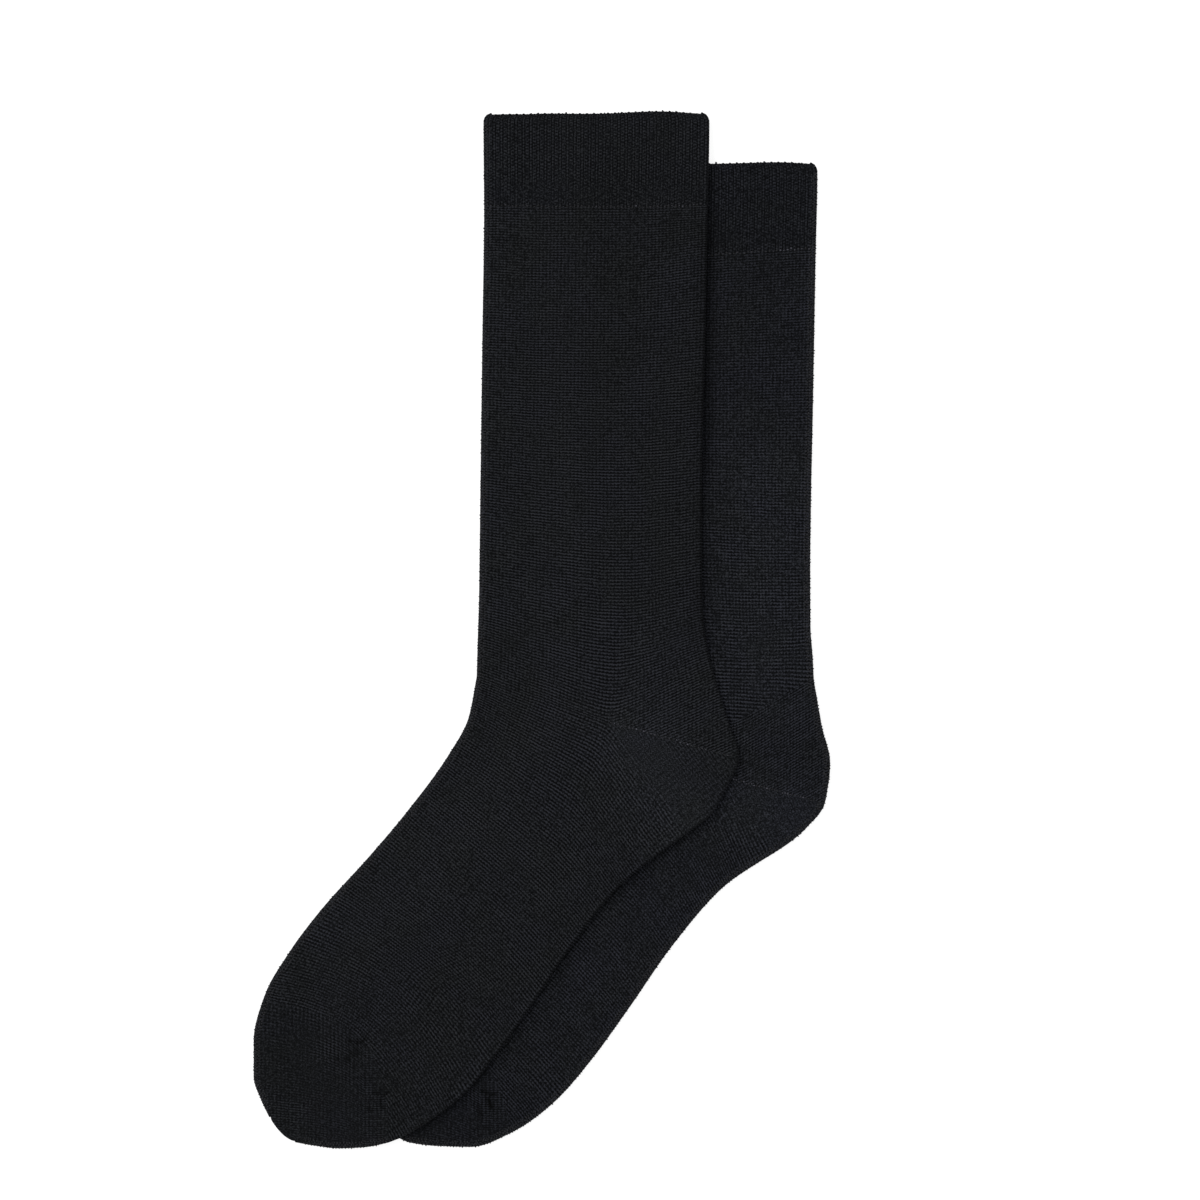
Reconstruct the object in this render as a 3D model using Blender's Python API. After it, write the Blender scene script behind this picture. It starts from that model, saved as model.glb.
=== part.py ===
"""A pair of fine-knit socks laid flat on a table, the front sock lying over the back one.

Each sock is one flattened tube of cloth: an upper and a lower layer that meet in a round fold along the
instep and in another along the back of the leg, the heel and the sole. Its form comes from a short table
of sections. A section runs across the flat sock from the instep fold, through the middle of the side,
to the fold at the back. Four solids are taken from each sock: cuff, leg and foot, heel pocket and toe.
Sizes are in millimetres and are turned to metres where the meshes are made. +Y is up the leg, +Z is up
from the table.
"""

import math
from collections import namedtuple
from functools import partial

import bmesh
import bpy
import numpy as np
from mathutils import Matrix

MM = 0.001

# The cloth
WALL = 1.1  # one layer of knit
HOLLOW = 0.4  # air left between the two layers
FOLD_RADIUS = WALL + HOLLOW / 2
THICKNESS = 2 * FOLD_RADIUS
SEAM_GAP = 0.3  # between two pieces of one sock

# The ribbed cuff
RIBS_ON_A_SIDE = 30
RIB_HEIGHT = 0.3  # from the floor of a groove to the top of a rib
RIB_RISE = RIB_HEIGHT / 2  # of a rib's top over the plain knit
RIB_FADE = 14.0  # length over which the ribs weaken towards the plain knit
RIB_LEAST = 0.4  # share of their height left where the cuff ends

# How the front sock lies on the back one
REST_GAP = 0.3
LIFT = THICKNESS + RIB_RISE + REST_GAP
DRAPE_WIDTH = 26.0  # over which the front sock comes down to the table beside the back sock

# Mesh
FOLD_STEPS = 4  # facets round a fold
HEEL_ROW = 7.0  # spacing of the rows, by piece
FOOT_ROW = 9.0
TOE_ROW = 5.5
LEG_ROW = 26.0
CUFF_ROW = {"front": 6.5, "back": 19.0}
SIDE_STEPS = {"front": 16, "back": 10}  # facets across one layer, even
TIP_ANGLES = (40, 78)  # degrees round the fold that closes the toe
LEAST_SQUARENESS = 0.6  # of a section to the outline, where folds are kept round
CRISP = 8  # degrees between faces from which an edge is drawn sharp, so that ribs show
SOFT = 60

Section = namedtuple("Section", "name instep middle sole")

FRONT_SECTIONS = (
    Section("cuff_top", (-20.4, 206.8), (22.0, 206.8), (64.6, 206.8)),
    Section("cuff_lip", (-22.8, 203.8), (22.0, 203.8), (66.8, 203.8)),
    Section("cuff_end", (-22.8, 169.0), (21.6, 169.0), (66.2, 169.0)),
    Section("calf", (-23.6, 111.2), (20.8, 111.2), (65.2, 111.2)),
    Section("shin", (-24.4, 64.0), (19.8, 64.0), (64.0, 64.0)),
    Section("low_shin", (-24.8, 28.0), (19.6, 27.2), (63.8, 28.0)),
    Section("ankle", (-25.2, 3.2), (25.2, -0.8), (64.4, 5.2)),
    Section("low_ankle", (-25.4, -8.8), (26.4, -21.6), (66.4, -8.8)),
    Section("heel_start", (-26.2, -20.0), (26.8, -35.6), (69.4, -21.6)),
    Section("heel_upper", (-26.3, -21.2), (26.8, -36.4), (75.0, -38.4)),
    Section("heel_gore", (-26.4, -22.6), (26.8, -37.2), (78.8, -51.6)),
    Section("heel_lower", (-26.5, -23.8), (26.8, -37.8), (73.4, -64.4)),
    Section("heel_base", (-26.6, -25.0), (26.8, -38.4), (67.8, -74.0)),
    Section("heel_end", (-26.9, -26.2), (26.8, -39.0), (58.8, -81.2)),
    Section("foot_back", (-30.6, -39.2), (13.6, -55.6), (44.4, -91.6)),
    Section("arch", (-37.0, -50.4), (-0.4, -73.2), (31.2, -102.0)),
    Section("middle_foot", (-52.4, -71.6), (-20.4, -98.8), (12.2, -126.0)),
    Section("front_foot", (-74.4, -96.8), (-40.4, -124.4), (-6.0, -153.2)),
    Section("ball", (-90.8, -116.0), (-56.4, -144.8), (-21.2, -174.0)),
    Section("toe_roots", (-101.2, -129.6), (-64.4, -154.4), (-36.4, -192.0)),
    Section("toe_start", (-110.8, -148.0), (-73.2, -164.0), (-53.8, -203.4)),
    Section("toe_one", (-115.2, -164.0), (-86.4, -176.8), (-67.6, -206.8)),
    Section("toe_two", (-114.6, -180.0), (-96.4, -186.8), (-82.4, -207.2)),
    Section("toe_three", (-111.6, -188.8), (-102.4, -194.4), (-93.2, -205.0)),
    Section("toe_tip", (-107.6, -194.6), (-103.2, -198.4), (-98.6, -203.2)),
)

BACK_SECTIONS = (
    Section("cuff_top", (22.8, 186.4), (65.2, 186.4), (107.8, 186.4)),
    Section("cuff_lip", (20.4, 183.6), (65.2, 183.6), (110.2, 183.6)),
    Section("cuff_end", (20.0, 146.4), (64.8, 149.2), (109.8, 152.0)),
    Section("calf", (19.6, 94.0), (64.0, 94.8), (108.8, 96.8)),
    Section("shin", (19.2, 54.0), (63.4, 54.0), (108.0, 56.0)),
    Section("low_shin", (18.8, 20.0), (63.2, 19.2), (107.5, 22.0)),
    Section("ankle", (18.0, -6.0), (63.6, -10.4), (107.8, -4.0)),
    Section("low_ankle", (16.4, -24.0), (65.2, -39.2), (109.2, -20.0)),
    Section("heel_start", (14.4, -32.8), (66.0, -54.8), (111.9, -35.2)),
    Section("heel_upper", (14.0, -34.0), (66.0, -55.8), (115.9, -54.0)),
    Section("heel_gore", (13.6, -35.2), (66.0, -56.8), (113.2, -69.6)),
    Section("heel_lower", (13.3, -36.2), (66.0, -57.6), (105.8, -79.8)),
    Section("heel_base", (13.0, -37.1), (66.0, -58.4), (99.0, -85.2)),
    Section("heel_end", (12.6, -38.0), (66.0, -59.0), (92.0, -89.8)),
    Section("foot_back", (10.0, -42.4), (54.0, -66.8), (81.8, -96.0)),
    Section("arch", (3.6, -48.8), (39.6, -73.2), (73.3, -102.4)),
    Section("middle_foot", (-12.8, -71.6), (19.6, -98.8), (52.8, -126.0)),
    Section("front_foot", (-34.4, -96.8), (-0.4, -124.4), (34.1, -152.8)),
    Section("ball", (-50.8, -116.0), (-16.4, -144.8), (18.9, -173.6)),
    Section("toe_roots", (-61.2, -129.6), (-24.4, -154.4), (4.0, -190.0)),
    Section("toe_start", (-70.8, -148.0), (-29.2, -168.0), (-12.4, -201.6)),
    Section("toe_one", (-75.2, -164.0), (-46.4, -176.8), (-28.4, -206.6)),
    Section("toe_two", (-74.6, -180.0), (-56.4, -186.8), (-42.4, -206.8)),
    Section("toe_three", (-71.6, -188.8), (-62.4, -194.4), (-53.2, -205.0)),
    Section("toe_tip", (-67.6, -194.6), (-63.2, -198.4), (-58.6, -203.2)),
)

# Colours are linear RGB of a near-black yarn; ribs and pockets are knitted tighter and look darker.
COLOURS = {
    "cuff": (0.0090, 0.0095, 0.0118),
    "leg_and_foot": (0.0110, 0.0116, 0.0137),
    "heel": (0.0120, 0.0125, 0.0145),
    "toe": (0.0086, 0.0091, 0.0108),
}
ROUGHNESS = 0.92


def clear_scene():
    for item in list(bpy.data.objects):
        bpy.data.objects.remove(item, do_unlink=True)


def slopes_without_overshoot(stations, values):
    """Slope of a curve at each station: the weighted harmonic mean of its neighbours' slopes."""
    steps = np.diff(stations)[:, None]
    rises = np.diff(values, axis=0) / steps
    slopes = np.zeros_like(values)
    slopes[0] = rises[0]
    slopes[-1] = rises[-1]
    before = rises[:-1]
    after = rises[1:]
    weight_before = 2 * steps[1:] + steps[:-1]
    weight_after = steps[1:] + 2 * steps[:-1]
    same_way = before * after > 0
    safe_before = np.where(same_way, before, 1)
    safe_after = np.where(same_way, after, 1)
    mean = (weight_before + weight_after) / (weight_before / safe_before + weight_after / safe_after)
    slopes[1:-1] = np.where(same_way, mean, 0)
    return slopes


def curve_at(stations, values, wanted):
    """Cubic Hermite curve through the values, read at the wanted stations."""
    slopes = slopes_without_overshoot(stations, values)
    index = np.clip(np.searchsorted(stations, wanted, side="right") - 1, 0, len(stations) - 2)
    step = (stations[index + 1] - stations[index])[:, None]
    part = ((wanted - stations[index])[:, None]) / step
    start_share = (1 + 2 * part) * (1 - part) ** 2
    start_slope = part * (1 - part) ** 2 * step
    end_share = part**2 * (3 - 2 * part)
    end_slope = part**2 * (part - 1) * step
    return (
        start_share * values[index]
        + start_slope * slopes[index]
        + end_share * values[index + 1]
        + end_slope * slopes[index + 1]
    )


class Plan:
    """The flat outline of one sock: its three lengthwise lines as curves over a station, in millimetres."""

    def __init__(self, sections):
        self.names = [section.name for section in sections]
        self.lines = {
            line: np.array([getattr(section, line) for section in sections])
            for line in ("instep", "middle", "sole")
        }
        moves = [
            np.linalg.norm(np.diff(points, axis=0), axis=1) for points in self.lines.values()
        ]
        self.stations = np.concatenate([[0], np.cumsum(np.mean(moves, axis=0))])

    def station(self, name):
        return self.stations[self.names.index(name)]

    def at(self, line, wanted):
        return curve_at(self.stations, self.lines[line], wanted)

    def rows(self, first, last, spacing):
        """Stations from one named section to another, each section kept, about as far apart as spacing."""
        start = self.names.index(first)
        end = self.names.index(last)
        found = [self.stations[start]]
        for index in range(start, end):
            length = self.stations[index + 1] - self.stations[index]
            steps = max(1, round(length / spacing))
            found += list(np.linspace(self.stations[index], self.stations[index + 1], steps + 1)[1:])
        return np.array(found)

    def outline(self):
        """The closed outline, down the instep fold and back up the sole fold."""
        wanted = self.rows(self.names[0], self.names[-1], TOE_ROW)
        return np.concatenate([self.at("instep", wanted), self.at("sole", wanted)[::-1]])


def distance_outside(points, outline):
    """Distance of each point from a closed outline, and 0 for the points inside it."""
    starts = outline
    ends = np.roll(outline, -1, axis=0)
    along = ends - starts
    offset = points[:, None, :] - starts[None]
    share = (offset * along).sum(axis=2) / np.maximum((along**2).sum(axis=1), 1e-9)
    nearest = offset - np.clip(share, 0, 1)[..., None] * along
    distance = np.linalg.norm(nearest, axis=2).min(axis=1)
    above = points[:, None, 1] < starts[None, :, 1]
    crosses = above != (points[:, None, 1] < ends[None, :, 1])
    rise = np.where(along[:, 1] == 0, 1e-9, along[:, 1])
    crossing_x = starts[:, 0] + (points[:, None, 1] - starts[:, 1]) * along[:, 0] / rise
    inside = (crosses & (points[:, None, 0] < crossing_x)).sum(axis=1) % 2 == 1
    return np.where(inside, 0, distance)


def draped_height(points, under_outline):
    """Height of the surface under the front sock: the back sock's top, falling softly to the table."""
    share = np.clip(1 - distance_outside(points, under_outline) / DRAPE_WIDTH, 0, 1)
    return LIFT * share**2 * (3 - 2 * share)


def table_height(points):
    return np.zeros(len(points))


def unit(vectors):
    return vectors / np.maximum(np.linalg.norm(vectors, axis=-1, keepdims=True), 1e-9)


def cross(first, second):
    return first[..., 0] * second[..., 1] - first[..., 1] * second[..., 0]


class Ring:
    """The columns round the tube: upper layer, fold at the sole, lower layer, fold at the instep.

    Each column has a side of the section (-1 the instep half, +1 the sole half), a share of the way from
    the fold to the middle, and an angle round the fold, which is 0 on top and 180 degrees underneath.
    """

    def __init__(self, upper_steps, lower_steps):
        self.upper_steps = upper_steps
        self.lower_steps = lower_steps
        across_upper = np.linspace(-1, 1, upper_steps + 1)
        across_lower = np.linspace(1, -1, lower_steps + 1)
        turn = np.linspace(0, math.pi, FOLD_STEPS + 1)[1:-1]
        folds = len(turn)
        self.across = np.concatenate([across_upper, np.ones(folds), across_lower, -np.ones(folds)])
        self.angle = np.concatenate(
            [np.zeros(upper_steps + 1), turn, np.full(lower_steps + 1, math.pi), turn[::-1]]
        )

    def count(self):
        return len(self.across)

    def mirror(self, column):
        """The column under this one, where both layers have as many steps."""
        return (2 * self.upper_steps + FOLD_STEPS - column) % self.count()


def end_insets(plan, wanted, fold_line):
    """How far along a section its fold's centre lies from the outline, so that the fold stays round."""
    step = 0.5
    tangent = unit(plan.at(fold_line, wanted + step) - plan.at(fold_line, wanted - step))
    direction = unit(plan.at("middle", wanted) - plan.at(fold_line, wanted))
    squareness = np.clip(np.abs(cross(direction, tangent)), LEAST_SQUARENESS, 1)
    return FOLD_RADIUS / squareness


def layer_grid(plan, wanted, ring, radius, ground):
    """Points of one face of the cloth, [row, column, xyz]; radius is that of its folds."""
    grid = np.zeros((len(wanted), ring.count(), 3))
    middle = plan.at("middle", wanted)
    for side, fold_line in ((-1, "instep"), (1, "sole")):
        columns = (np.sign(ring.across) == side) | (ring.across == 0)
        fold = plan.at(fold_line, wanted)
        length = np.linalg.norm(middle - fold, axis=1)[:, None]
        inset = end_insets(plan, wanted, fold_line)[:, None]
        from_middle = np.abs(ring.across[columns])[None]
        sine = np.sin(ring.angle[columns])[None]
        distance = inset * (1 - sine * radius / FOLD_RADIUS)
        distance = distance + (1 - from_middle) * (length - inset)
        share = distance / length
        grid[:, columns, :2] = (
            fold[:, None] * (1 - share[..., None]) + middle[:, None] * share[..., None]
        )
    base = ground(grid[..., :2].reshape(-1, 2)).reshape(grid.shape[:2])
    grid[..., 2] = base + FOLD_RADIUS + radius * np.cos(ring.angle)[None]
    return grid


def add_tip(grid, plan, radius, ground):
    """Rows that carry the last section round the fold that closes the toe."""
    end = plan.stations[-1:]
    instep = plan.at("instep", end)[0]
    sole = plan.at("sole", end)[0]
    chord = unit(sole - instep)
    outward = np.array([chord[1], -chord[0]])
    last = grid[-1]
    flat = last[:, :2]
    along = ((flat - (instep + sole) / 2) @ chord)[:, None]
    reach = np.abs(along).max()
    from_centre = last[:, 2] - ground(flat) - FOLD_RADIUS
    rows = [grid]
    for angle in np.radians(TIP_ANGLES):
        narrowing = radius * (1 - math.cos(angle)) / reach
        row = np.empty_like(last)
        row[:, :2] = flat - narrowing * along * chord + radius * math.sin(angle) * outward
        row[:, 2] = ground(row[:, :2]) + FOLD_RADIUS + from_centre * math.cos(angle)
        rows.append(row[None])
    return np.concatenate(rows)


def raise_ribs(grid, ring, wanted):
    """Every second column of the upper layer's outer face is a rib's top, the others are grooves."""
    rib = np.zeros(ring.count())
    upper = np.arange(1, ring.upper_steps)
    rib[upper] = np.where(upper % 2 == 1, RIB_RISE, RIB_RISE - RIB_HEIGHT)
    strength = np.clip((wanted[-1] - wanted) / RIB_FADE, 0, 1) * (1 - RIB_LEAST) + RIB_LEAST
    grid[..., 2] += strength[:, None] * rib[None]


def seam_moves(points, cells):
    """Moves that draw a piece's edge in from its neighbours by half a seam, [row, column, xyz]."""
    rows, columns = cells.shape
    corners = [points[:-1], np.roll(points, -1, axis=1)[:-1]]
    corners += [points[1:], np.roll(points, -1, axis=1)[1:]]
    centres = np.mean(corners, axis=0)
    total = np.zeros_like(points)
    used = np.zeros(points.shape[:2])
    for row_step in (0, 1):
        for column_step in (0, 1):
            part = np.roll(np.where(cells[..., None], centres, 0), column_step, axis=1)
            share = np.roll(cells, column_step, axis=1)
            total[row_step : rows + row_step] += part
            used[row_step : rows + row_step] += share
    edge = (used > 0) & (used < 4)
    toward = unit(total / np.maximum(used, 1)[..., None] - points)
    corner = (used == 1) | (used == 3)
    length = np.where(corner, math.sqrt(2), 1) * SEAM_GAP / 2
    return np.where(edge[..., None], toward * length[..., None], 0)


def faces_of(cells, number, flip):
    """Quads of the chosen cells over a grid of vertex numbers."""
    after = np.roll(number, -1, axis=1)
    quads = np.stack([number[:-1], after[:-1], after[1:], number[1:]], axis=-1)[cells]
    return quads[:, ::-1] if flip else quads


def rim_faces(cells, outer, inner):
    """Quads that join the outer and inner face along each edge that only one chosen cell has."""
    found = []
    rows, columns = cells.shape
    for row, column in zip(*np.nonzero(cells)):
        after = (column + 1) % columns
        before = (column - 1) % columns
        edges = []
        if row == 0 or not cells[row - 1, column]:
            edges.append(((row, after), (row, column)))
        if row == rows - 1 or not cells[row + 1, column]:
            edges.append(((row + 1, column), (row + 1, after)))
        if not cells[row, before]:
            edges.append(((row, column), (row + 1, column)))
        if not cells[row, after]:
            edges.append(((row + 1, after), (row, after)))
        found += [(outer[a], outer[b], inner[b], inner[a]) for a, b in edges]
    return found


def tip_faces(ring, outer_row, inner_row):
    """Faces that zip the last row's upper half to its lower half, on the outer and the inner face."""
    start = 2 * ring.upper_steps + FOLD_STEPS + FOLD_STEPS // 2
    found = []
    for row in (outer_row, inner_row):
        for step in range(ring.upper_steps + FOLD_STEPS):
            one = (start + step) % ring.count()
            two = (one + 1) % ring.count()
            loop = [row[one], row[two], row[ring.mirror(two)], row[ring.mirror(one)]]
            found.append(tuple(dict.fromkeys(loop)))
    return found


def piece_mesh(name, outer_points, inner_points, cells, ring, closed_tip):
    """One closed solid: the chosen cells of the outer and inner face, joined round their edges."""
    shape = outer_points.shape[:2]
    outer = np.arange(shape[0] * shape[1]).reshape(shape)
    inner = outer + outer.size
    moves = seam_moves(outer_points, cells)
    if closed_tip:
        moves[-1] = 0
    points = np.concatenate(
        [(outer_points + moves).reshape(-1, 3), (inner_points + moves).reshape(-1, 3)]
    )
    faces = [tuple(face) for face in faces_of(cells, outer, False)]
    faces += [tuple(face) for face in faces_of(cells, inner, True)]
    rims = rim_faces(cells, outer, inner)
    if closed_tip:
        last = set(outer[-1])
        rims = [face for face in rims if not (face[0] in last and face[1] in last)]
        faces += tip_faces(ring, outer[-1], inner[-1])
    faces += rims
    used = np.unique(np.concatenate([np.array(face) for face in faces]))
    place = np.full(len(points), -1)
    place[used] = np.arange(len(used))
    mesh = bpy.data.meshes.new(name)
    mesh.from_pydata(
        [tuple(point) for point in points[used] * MM],
        [],
        [tuple(int(place[index]) for index in face) for face in faces],
    )
    work = bmesh.new()
    work.from_mesh(mesh)
    bmesh.ops.recalc_face_normals(work, faces=work.faces)
    work.to_mesh(mesh)
    work.free()
    return mesh


def knit_material(name, colour):
    material = bpy.data.materials.new(name)
    material.use_nodes = True
    shader = material.node_tree.nodes["Principled BSDF"]
    shader.inputs["Base Color"].default_value = (*colour, 1)
    shader.inputs["Roughness"].default_value = ROUGHNESS
    shader.inputs["Metallic"].default_value = 0
    material.diffuse_color = (*colour, 1)
    return material


def add_piece(sock, piece, mesh, sharp_degrees):
    mesh.materials.append(knit_material(f"{sock} {piece} knit", COLOURS[piece]))
    mesh.shade_smooth()
    mesh.set_sharp_from_angle(angle=math.radians(sharp_degrees))
    bpy.context.scene.collection.objects.link(bpy.data.objects.new(f"{sock}_{piece}", mesh))


def both_faces(plan, wanted, ring, ground):
    """The outer and the inner face of the cloth on the same rows and columns."""
    return [layer_grid(plan, wanted, ring, radius, ground) for radius in (FOLD_RADIUS, HOLLOW / 2)]


def make_cuff(sock, plan, ground):
    """A ribbed tube, open at the top, ribs raised on the side that shows."""
    ring = Ring(2 * RIBS_ON_A_SIDE, SIDE_STEPS[sock])
    wanted = plan.rows("cuff_top", "cuff_end", CUFF_ROW[sock])
    outer, inner = both_faces(plan, wanted, ring, ground)
    raise_ribs(outer, ring, wanted)
    cells = np.ones((len(wanted) - 1, ring.count()), bool)
    add_piece(sock, "cuff", piece_mesh(f"{sock}_cuff", outer, inner, cells, ring, False), CRISP)


def make_leg_and_foot(sock, plan, ground):
    """The plain tube from cuff to toe, with the window at the back that the heel pocket fills."""
    ring = Ring(SIDE_STEPS[sock], SIDE_STEPS[sock])
    above = np.concatenate(
        [
            plan.rows("cuff_end", "low_shin", LEG_ROW),
            plan.rows("low_shin", "heel_start", FOOT_ROW)[1:],
        ]
    )
    below = plan.rows("heel_end", "toe_start", FOOT_ROW)
    wanted = np.concatenate([above, below])
    outer, inner = both_faces(plan, wanted, ring, ground)
    cells = np.ones((len(wanted) - 1, ring.count()), bool)
    cells[len(above) - 1] = ~heel_columns(ring)
    mesh = piece_mesh(f"{sock}_leg_and_foot", outer, inner, cells, ring, False)
    add_piece(sock, "leg_and_foot", mesh, SOFT)


def heel_columns(ring):
    """Cells from the middle of the upper layer, round the back fold, to the middle of the lower one."""
    half = ring.upper_steps // 2
    cells = np.zeros(ring.count(), bool)
    cells[half : ring.upper_steps + FOLD_STEPS + half] = True
    return cells


def make_heel(sock, plan, ground):
    """The pocket whose rows fan round the heel from the gore line's inner end."""
    ring = Ring(SIDE_STEPS[sock], SIDE_STEPS[sock])
    wanted = plan.rows("heel_start", "heel_end", HEEL_ROW)
    outer, inner = both_faces(plan, wanted, ring, ground)
    cells = np.repeat(heel_columns(ring)[None], len(wanted) - 1, axis=0)
    add_piece(sock, "heel", piece_mesh(f"{sock}_heel", outer, inner, cells, ring, False), SOFT)


def make_toe(sock, plan, ground):
    """The closed pocket round the toes, zipped shut along its last row."""
    ring = Ring(SIDE_STEPS[sock], SIDE_STEPS[sock])
    wanted = plan.rows("toe_start", "toe_tip", TOE_ROW)
    outer, inner = both_faces(plan, wanted, ring, ground)
    outer = add_tip(outer, plan, FOLD_RADIUS, ground)
    inner = add_tip(inner, plan, HOLLOW / 2, ground)
    cells = np.ones((len(outer) - 1, ring.count()), bool)
    add_piece(sock, "toe", piece_mesh(f"{sock}_toe", outer, inner, cells, ring, True), SOFT)


def make_sock(sock, sections, ground):
    plan = Plan(sections)
    make_cuff(sock, plan, ground)
    make_leg_and_foot(sock, plan, ground)
    make_heel(sock, plan, ground)
    make_toe(sock, plan, ground)


def centre_on_origin():
    """Moves every mesh so that the pair's middle is over the origin and its underside on the table."""
    meshes = [item.data for item in bpy.data.objects]
    corners = np.concatenate([[vertex.co[:] for vertex in mesh.vertices] for mesh in meshes])
    low = corners.min(axis=0)
    middle = (low + corners.max(axis=0)) / 2
    for mesh in meshes:
        mesh.transform(Matrix.Translation((-middle[0], -middle[1], -low[2])))


clear_scene()
make_sock("back", BACK_SECTIONS, table_height)
back_outline = Plan(BACK_SECTIONS).outline()
make_sock("front", FRONT_SECTIONS, partial(draped_height, under_outline=back_outline))
centre_on_origin()
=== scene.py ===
# %% [markdown]
# # A pair of knitted socks, laid flat
#
# This lesson dresses a pair of near-black dress socks. A sock is one knitted tube: ribbed cuff, leg, heel
# pocket, foot and toe pocket. Laid flat it is two layers of cloth that meet in a round fold on each side.
# The plain solids of both socks exist already; here each one gets its real knitted surface.
#
# Every surface below is a function of two parameters, worked out with numpy for a whole grid at once:
# one parameter runs down the sock from cuff to toe, the other runs round the tube.

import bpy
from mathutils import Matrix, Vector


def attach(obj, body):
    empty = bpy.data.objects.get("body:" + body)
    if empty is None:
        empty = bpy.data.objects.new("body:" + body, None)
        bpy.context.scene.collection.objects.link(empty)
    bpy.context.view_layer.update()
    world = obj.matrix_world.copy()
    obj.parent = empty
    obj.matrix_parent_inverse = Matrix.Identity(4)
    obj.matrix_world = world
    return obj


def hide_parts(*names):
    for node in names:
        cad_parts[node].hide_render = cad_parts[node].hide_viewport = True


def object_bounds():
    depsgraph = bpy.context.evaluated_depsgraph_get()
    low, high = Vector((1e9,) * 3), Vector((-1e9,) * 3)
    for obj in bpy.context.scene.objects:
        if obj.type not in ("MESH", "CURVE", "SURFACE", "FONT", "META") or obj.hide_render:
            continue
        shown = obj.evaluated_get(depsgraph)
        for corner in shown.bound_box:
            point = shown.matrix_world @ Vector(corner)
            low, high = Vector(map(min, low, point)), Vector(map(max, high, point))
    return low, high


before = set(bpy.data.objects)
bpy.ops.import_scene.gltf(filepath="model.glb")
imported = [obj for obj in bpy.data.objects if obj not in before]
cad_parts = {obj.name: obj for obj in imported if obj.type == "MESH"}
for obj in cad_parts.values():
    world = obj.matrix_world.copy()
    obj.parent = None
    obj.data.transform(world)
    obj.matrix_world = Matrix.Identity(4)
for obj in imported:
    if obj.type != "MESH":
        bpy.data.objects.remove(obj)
cad_low, cad_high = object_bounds()
cad_size = [round((high - low) * 1000) for low, high in zip(cad_low, cad_high)]
print("solids:", len(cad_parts), "box in mm:", cad_size)

# %% What the script needs besides
import math
from collections import namedtuple

import bpy
import numpy as np

# %% [markdown]
# ## Sizes of the cloth
#
# All lengths are in millimetres until a mesh is made. One layer of this knit is 1.1 mm thick with its fuzz,
# and a little air stays between the two layers. A round has 124 wales, the upright columns of stitches:
# 60 on each side and 2 on each fold. In the cuff every second wale lies back, which makes the ribs.

# %% Cloth, folds and stitches
MM = 0.001
WALL = 1.1
HOLLOW = 0.4
FOLD_RADIUS = WALL + HOLLOW / 2
THICKNESS = 2 * FOLD_RADIUS
INNER_RADIUS = HOLLOW / 2
TINY = 1e-9  # stands in for a length of 0 where one is divided by

WALES_ON_A_SIDE = 60
WALES_ON_A_FOLD = 2
WALES_ROUND = 2 * (WALES_ON_A_SIDE + WALES_ON_A_FOLD)
COLUMNS_PER_WALE = 4  # points across one wale: top, flank, groove, flank
print("wales round the tube:", WALES_ROUND)

# %% [markdown]
# ## The two plans
#
# A sock's outline is no circle or line, so its plan is a short table. Each row is one row of stitches across
# the flat sock: where it starts at the instep's fold, where it bends most, which is its knee, and where it
# ends at the fold at the back or the sole. Down the leg the knees hang lower and lower, and round the heel
# the rows turn about it. Between the table's rows a smooth curve carries on. X runs across, Y up the leg.

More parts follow.
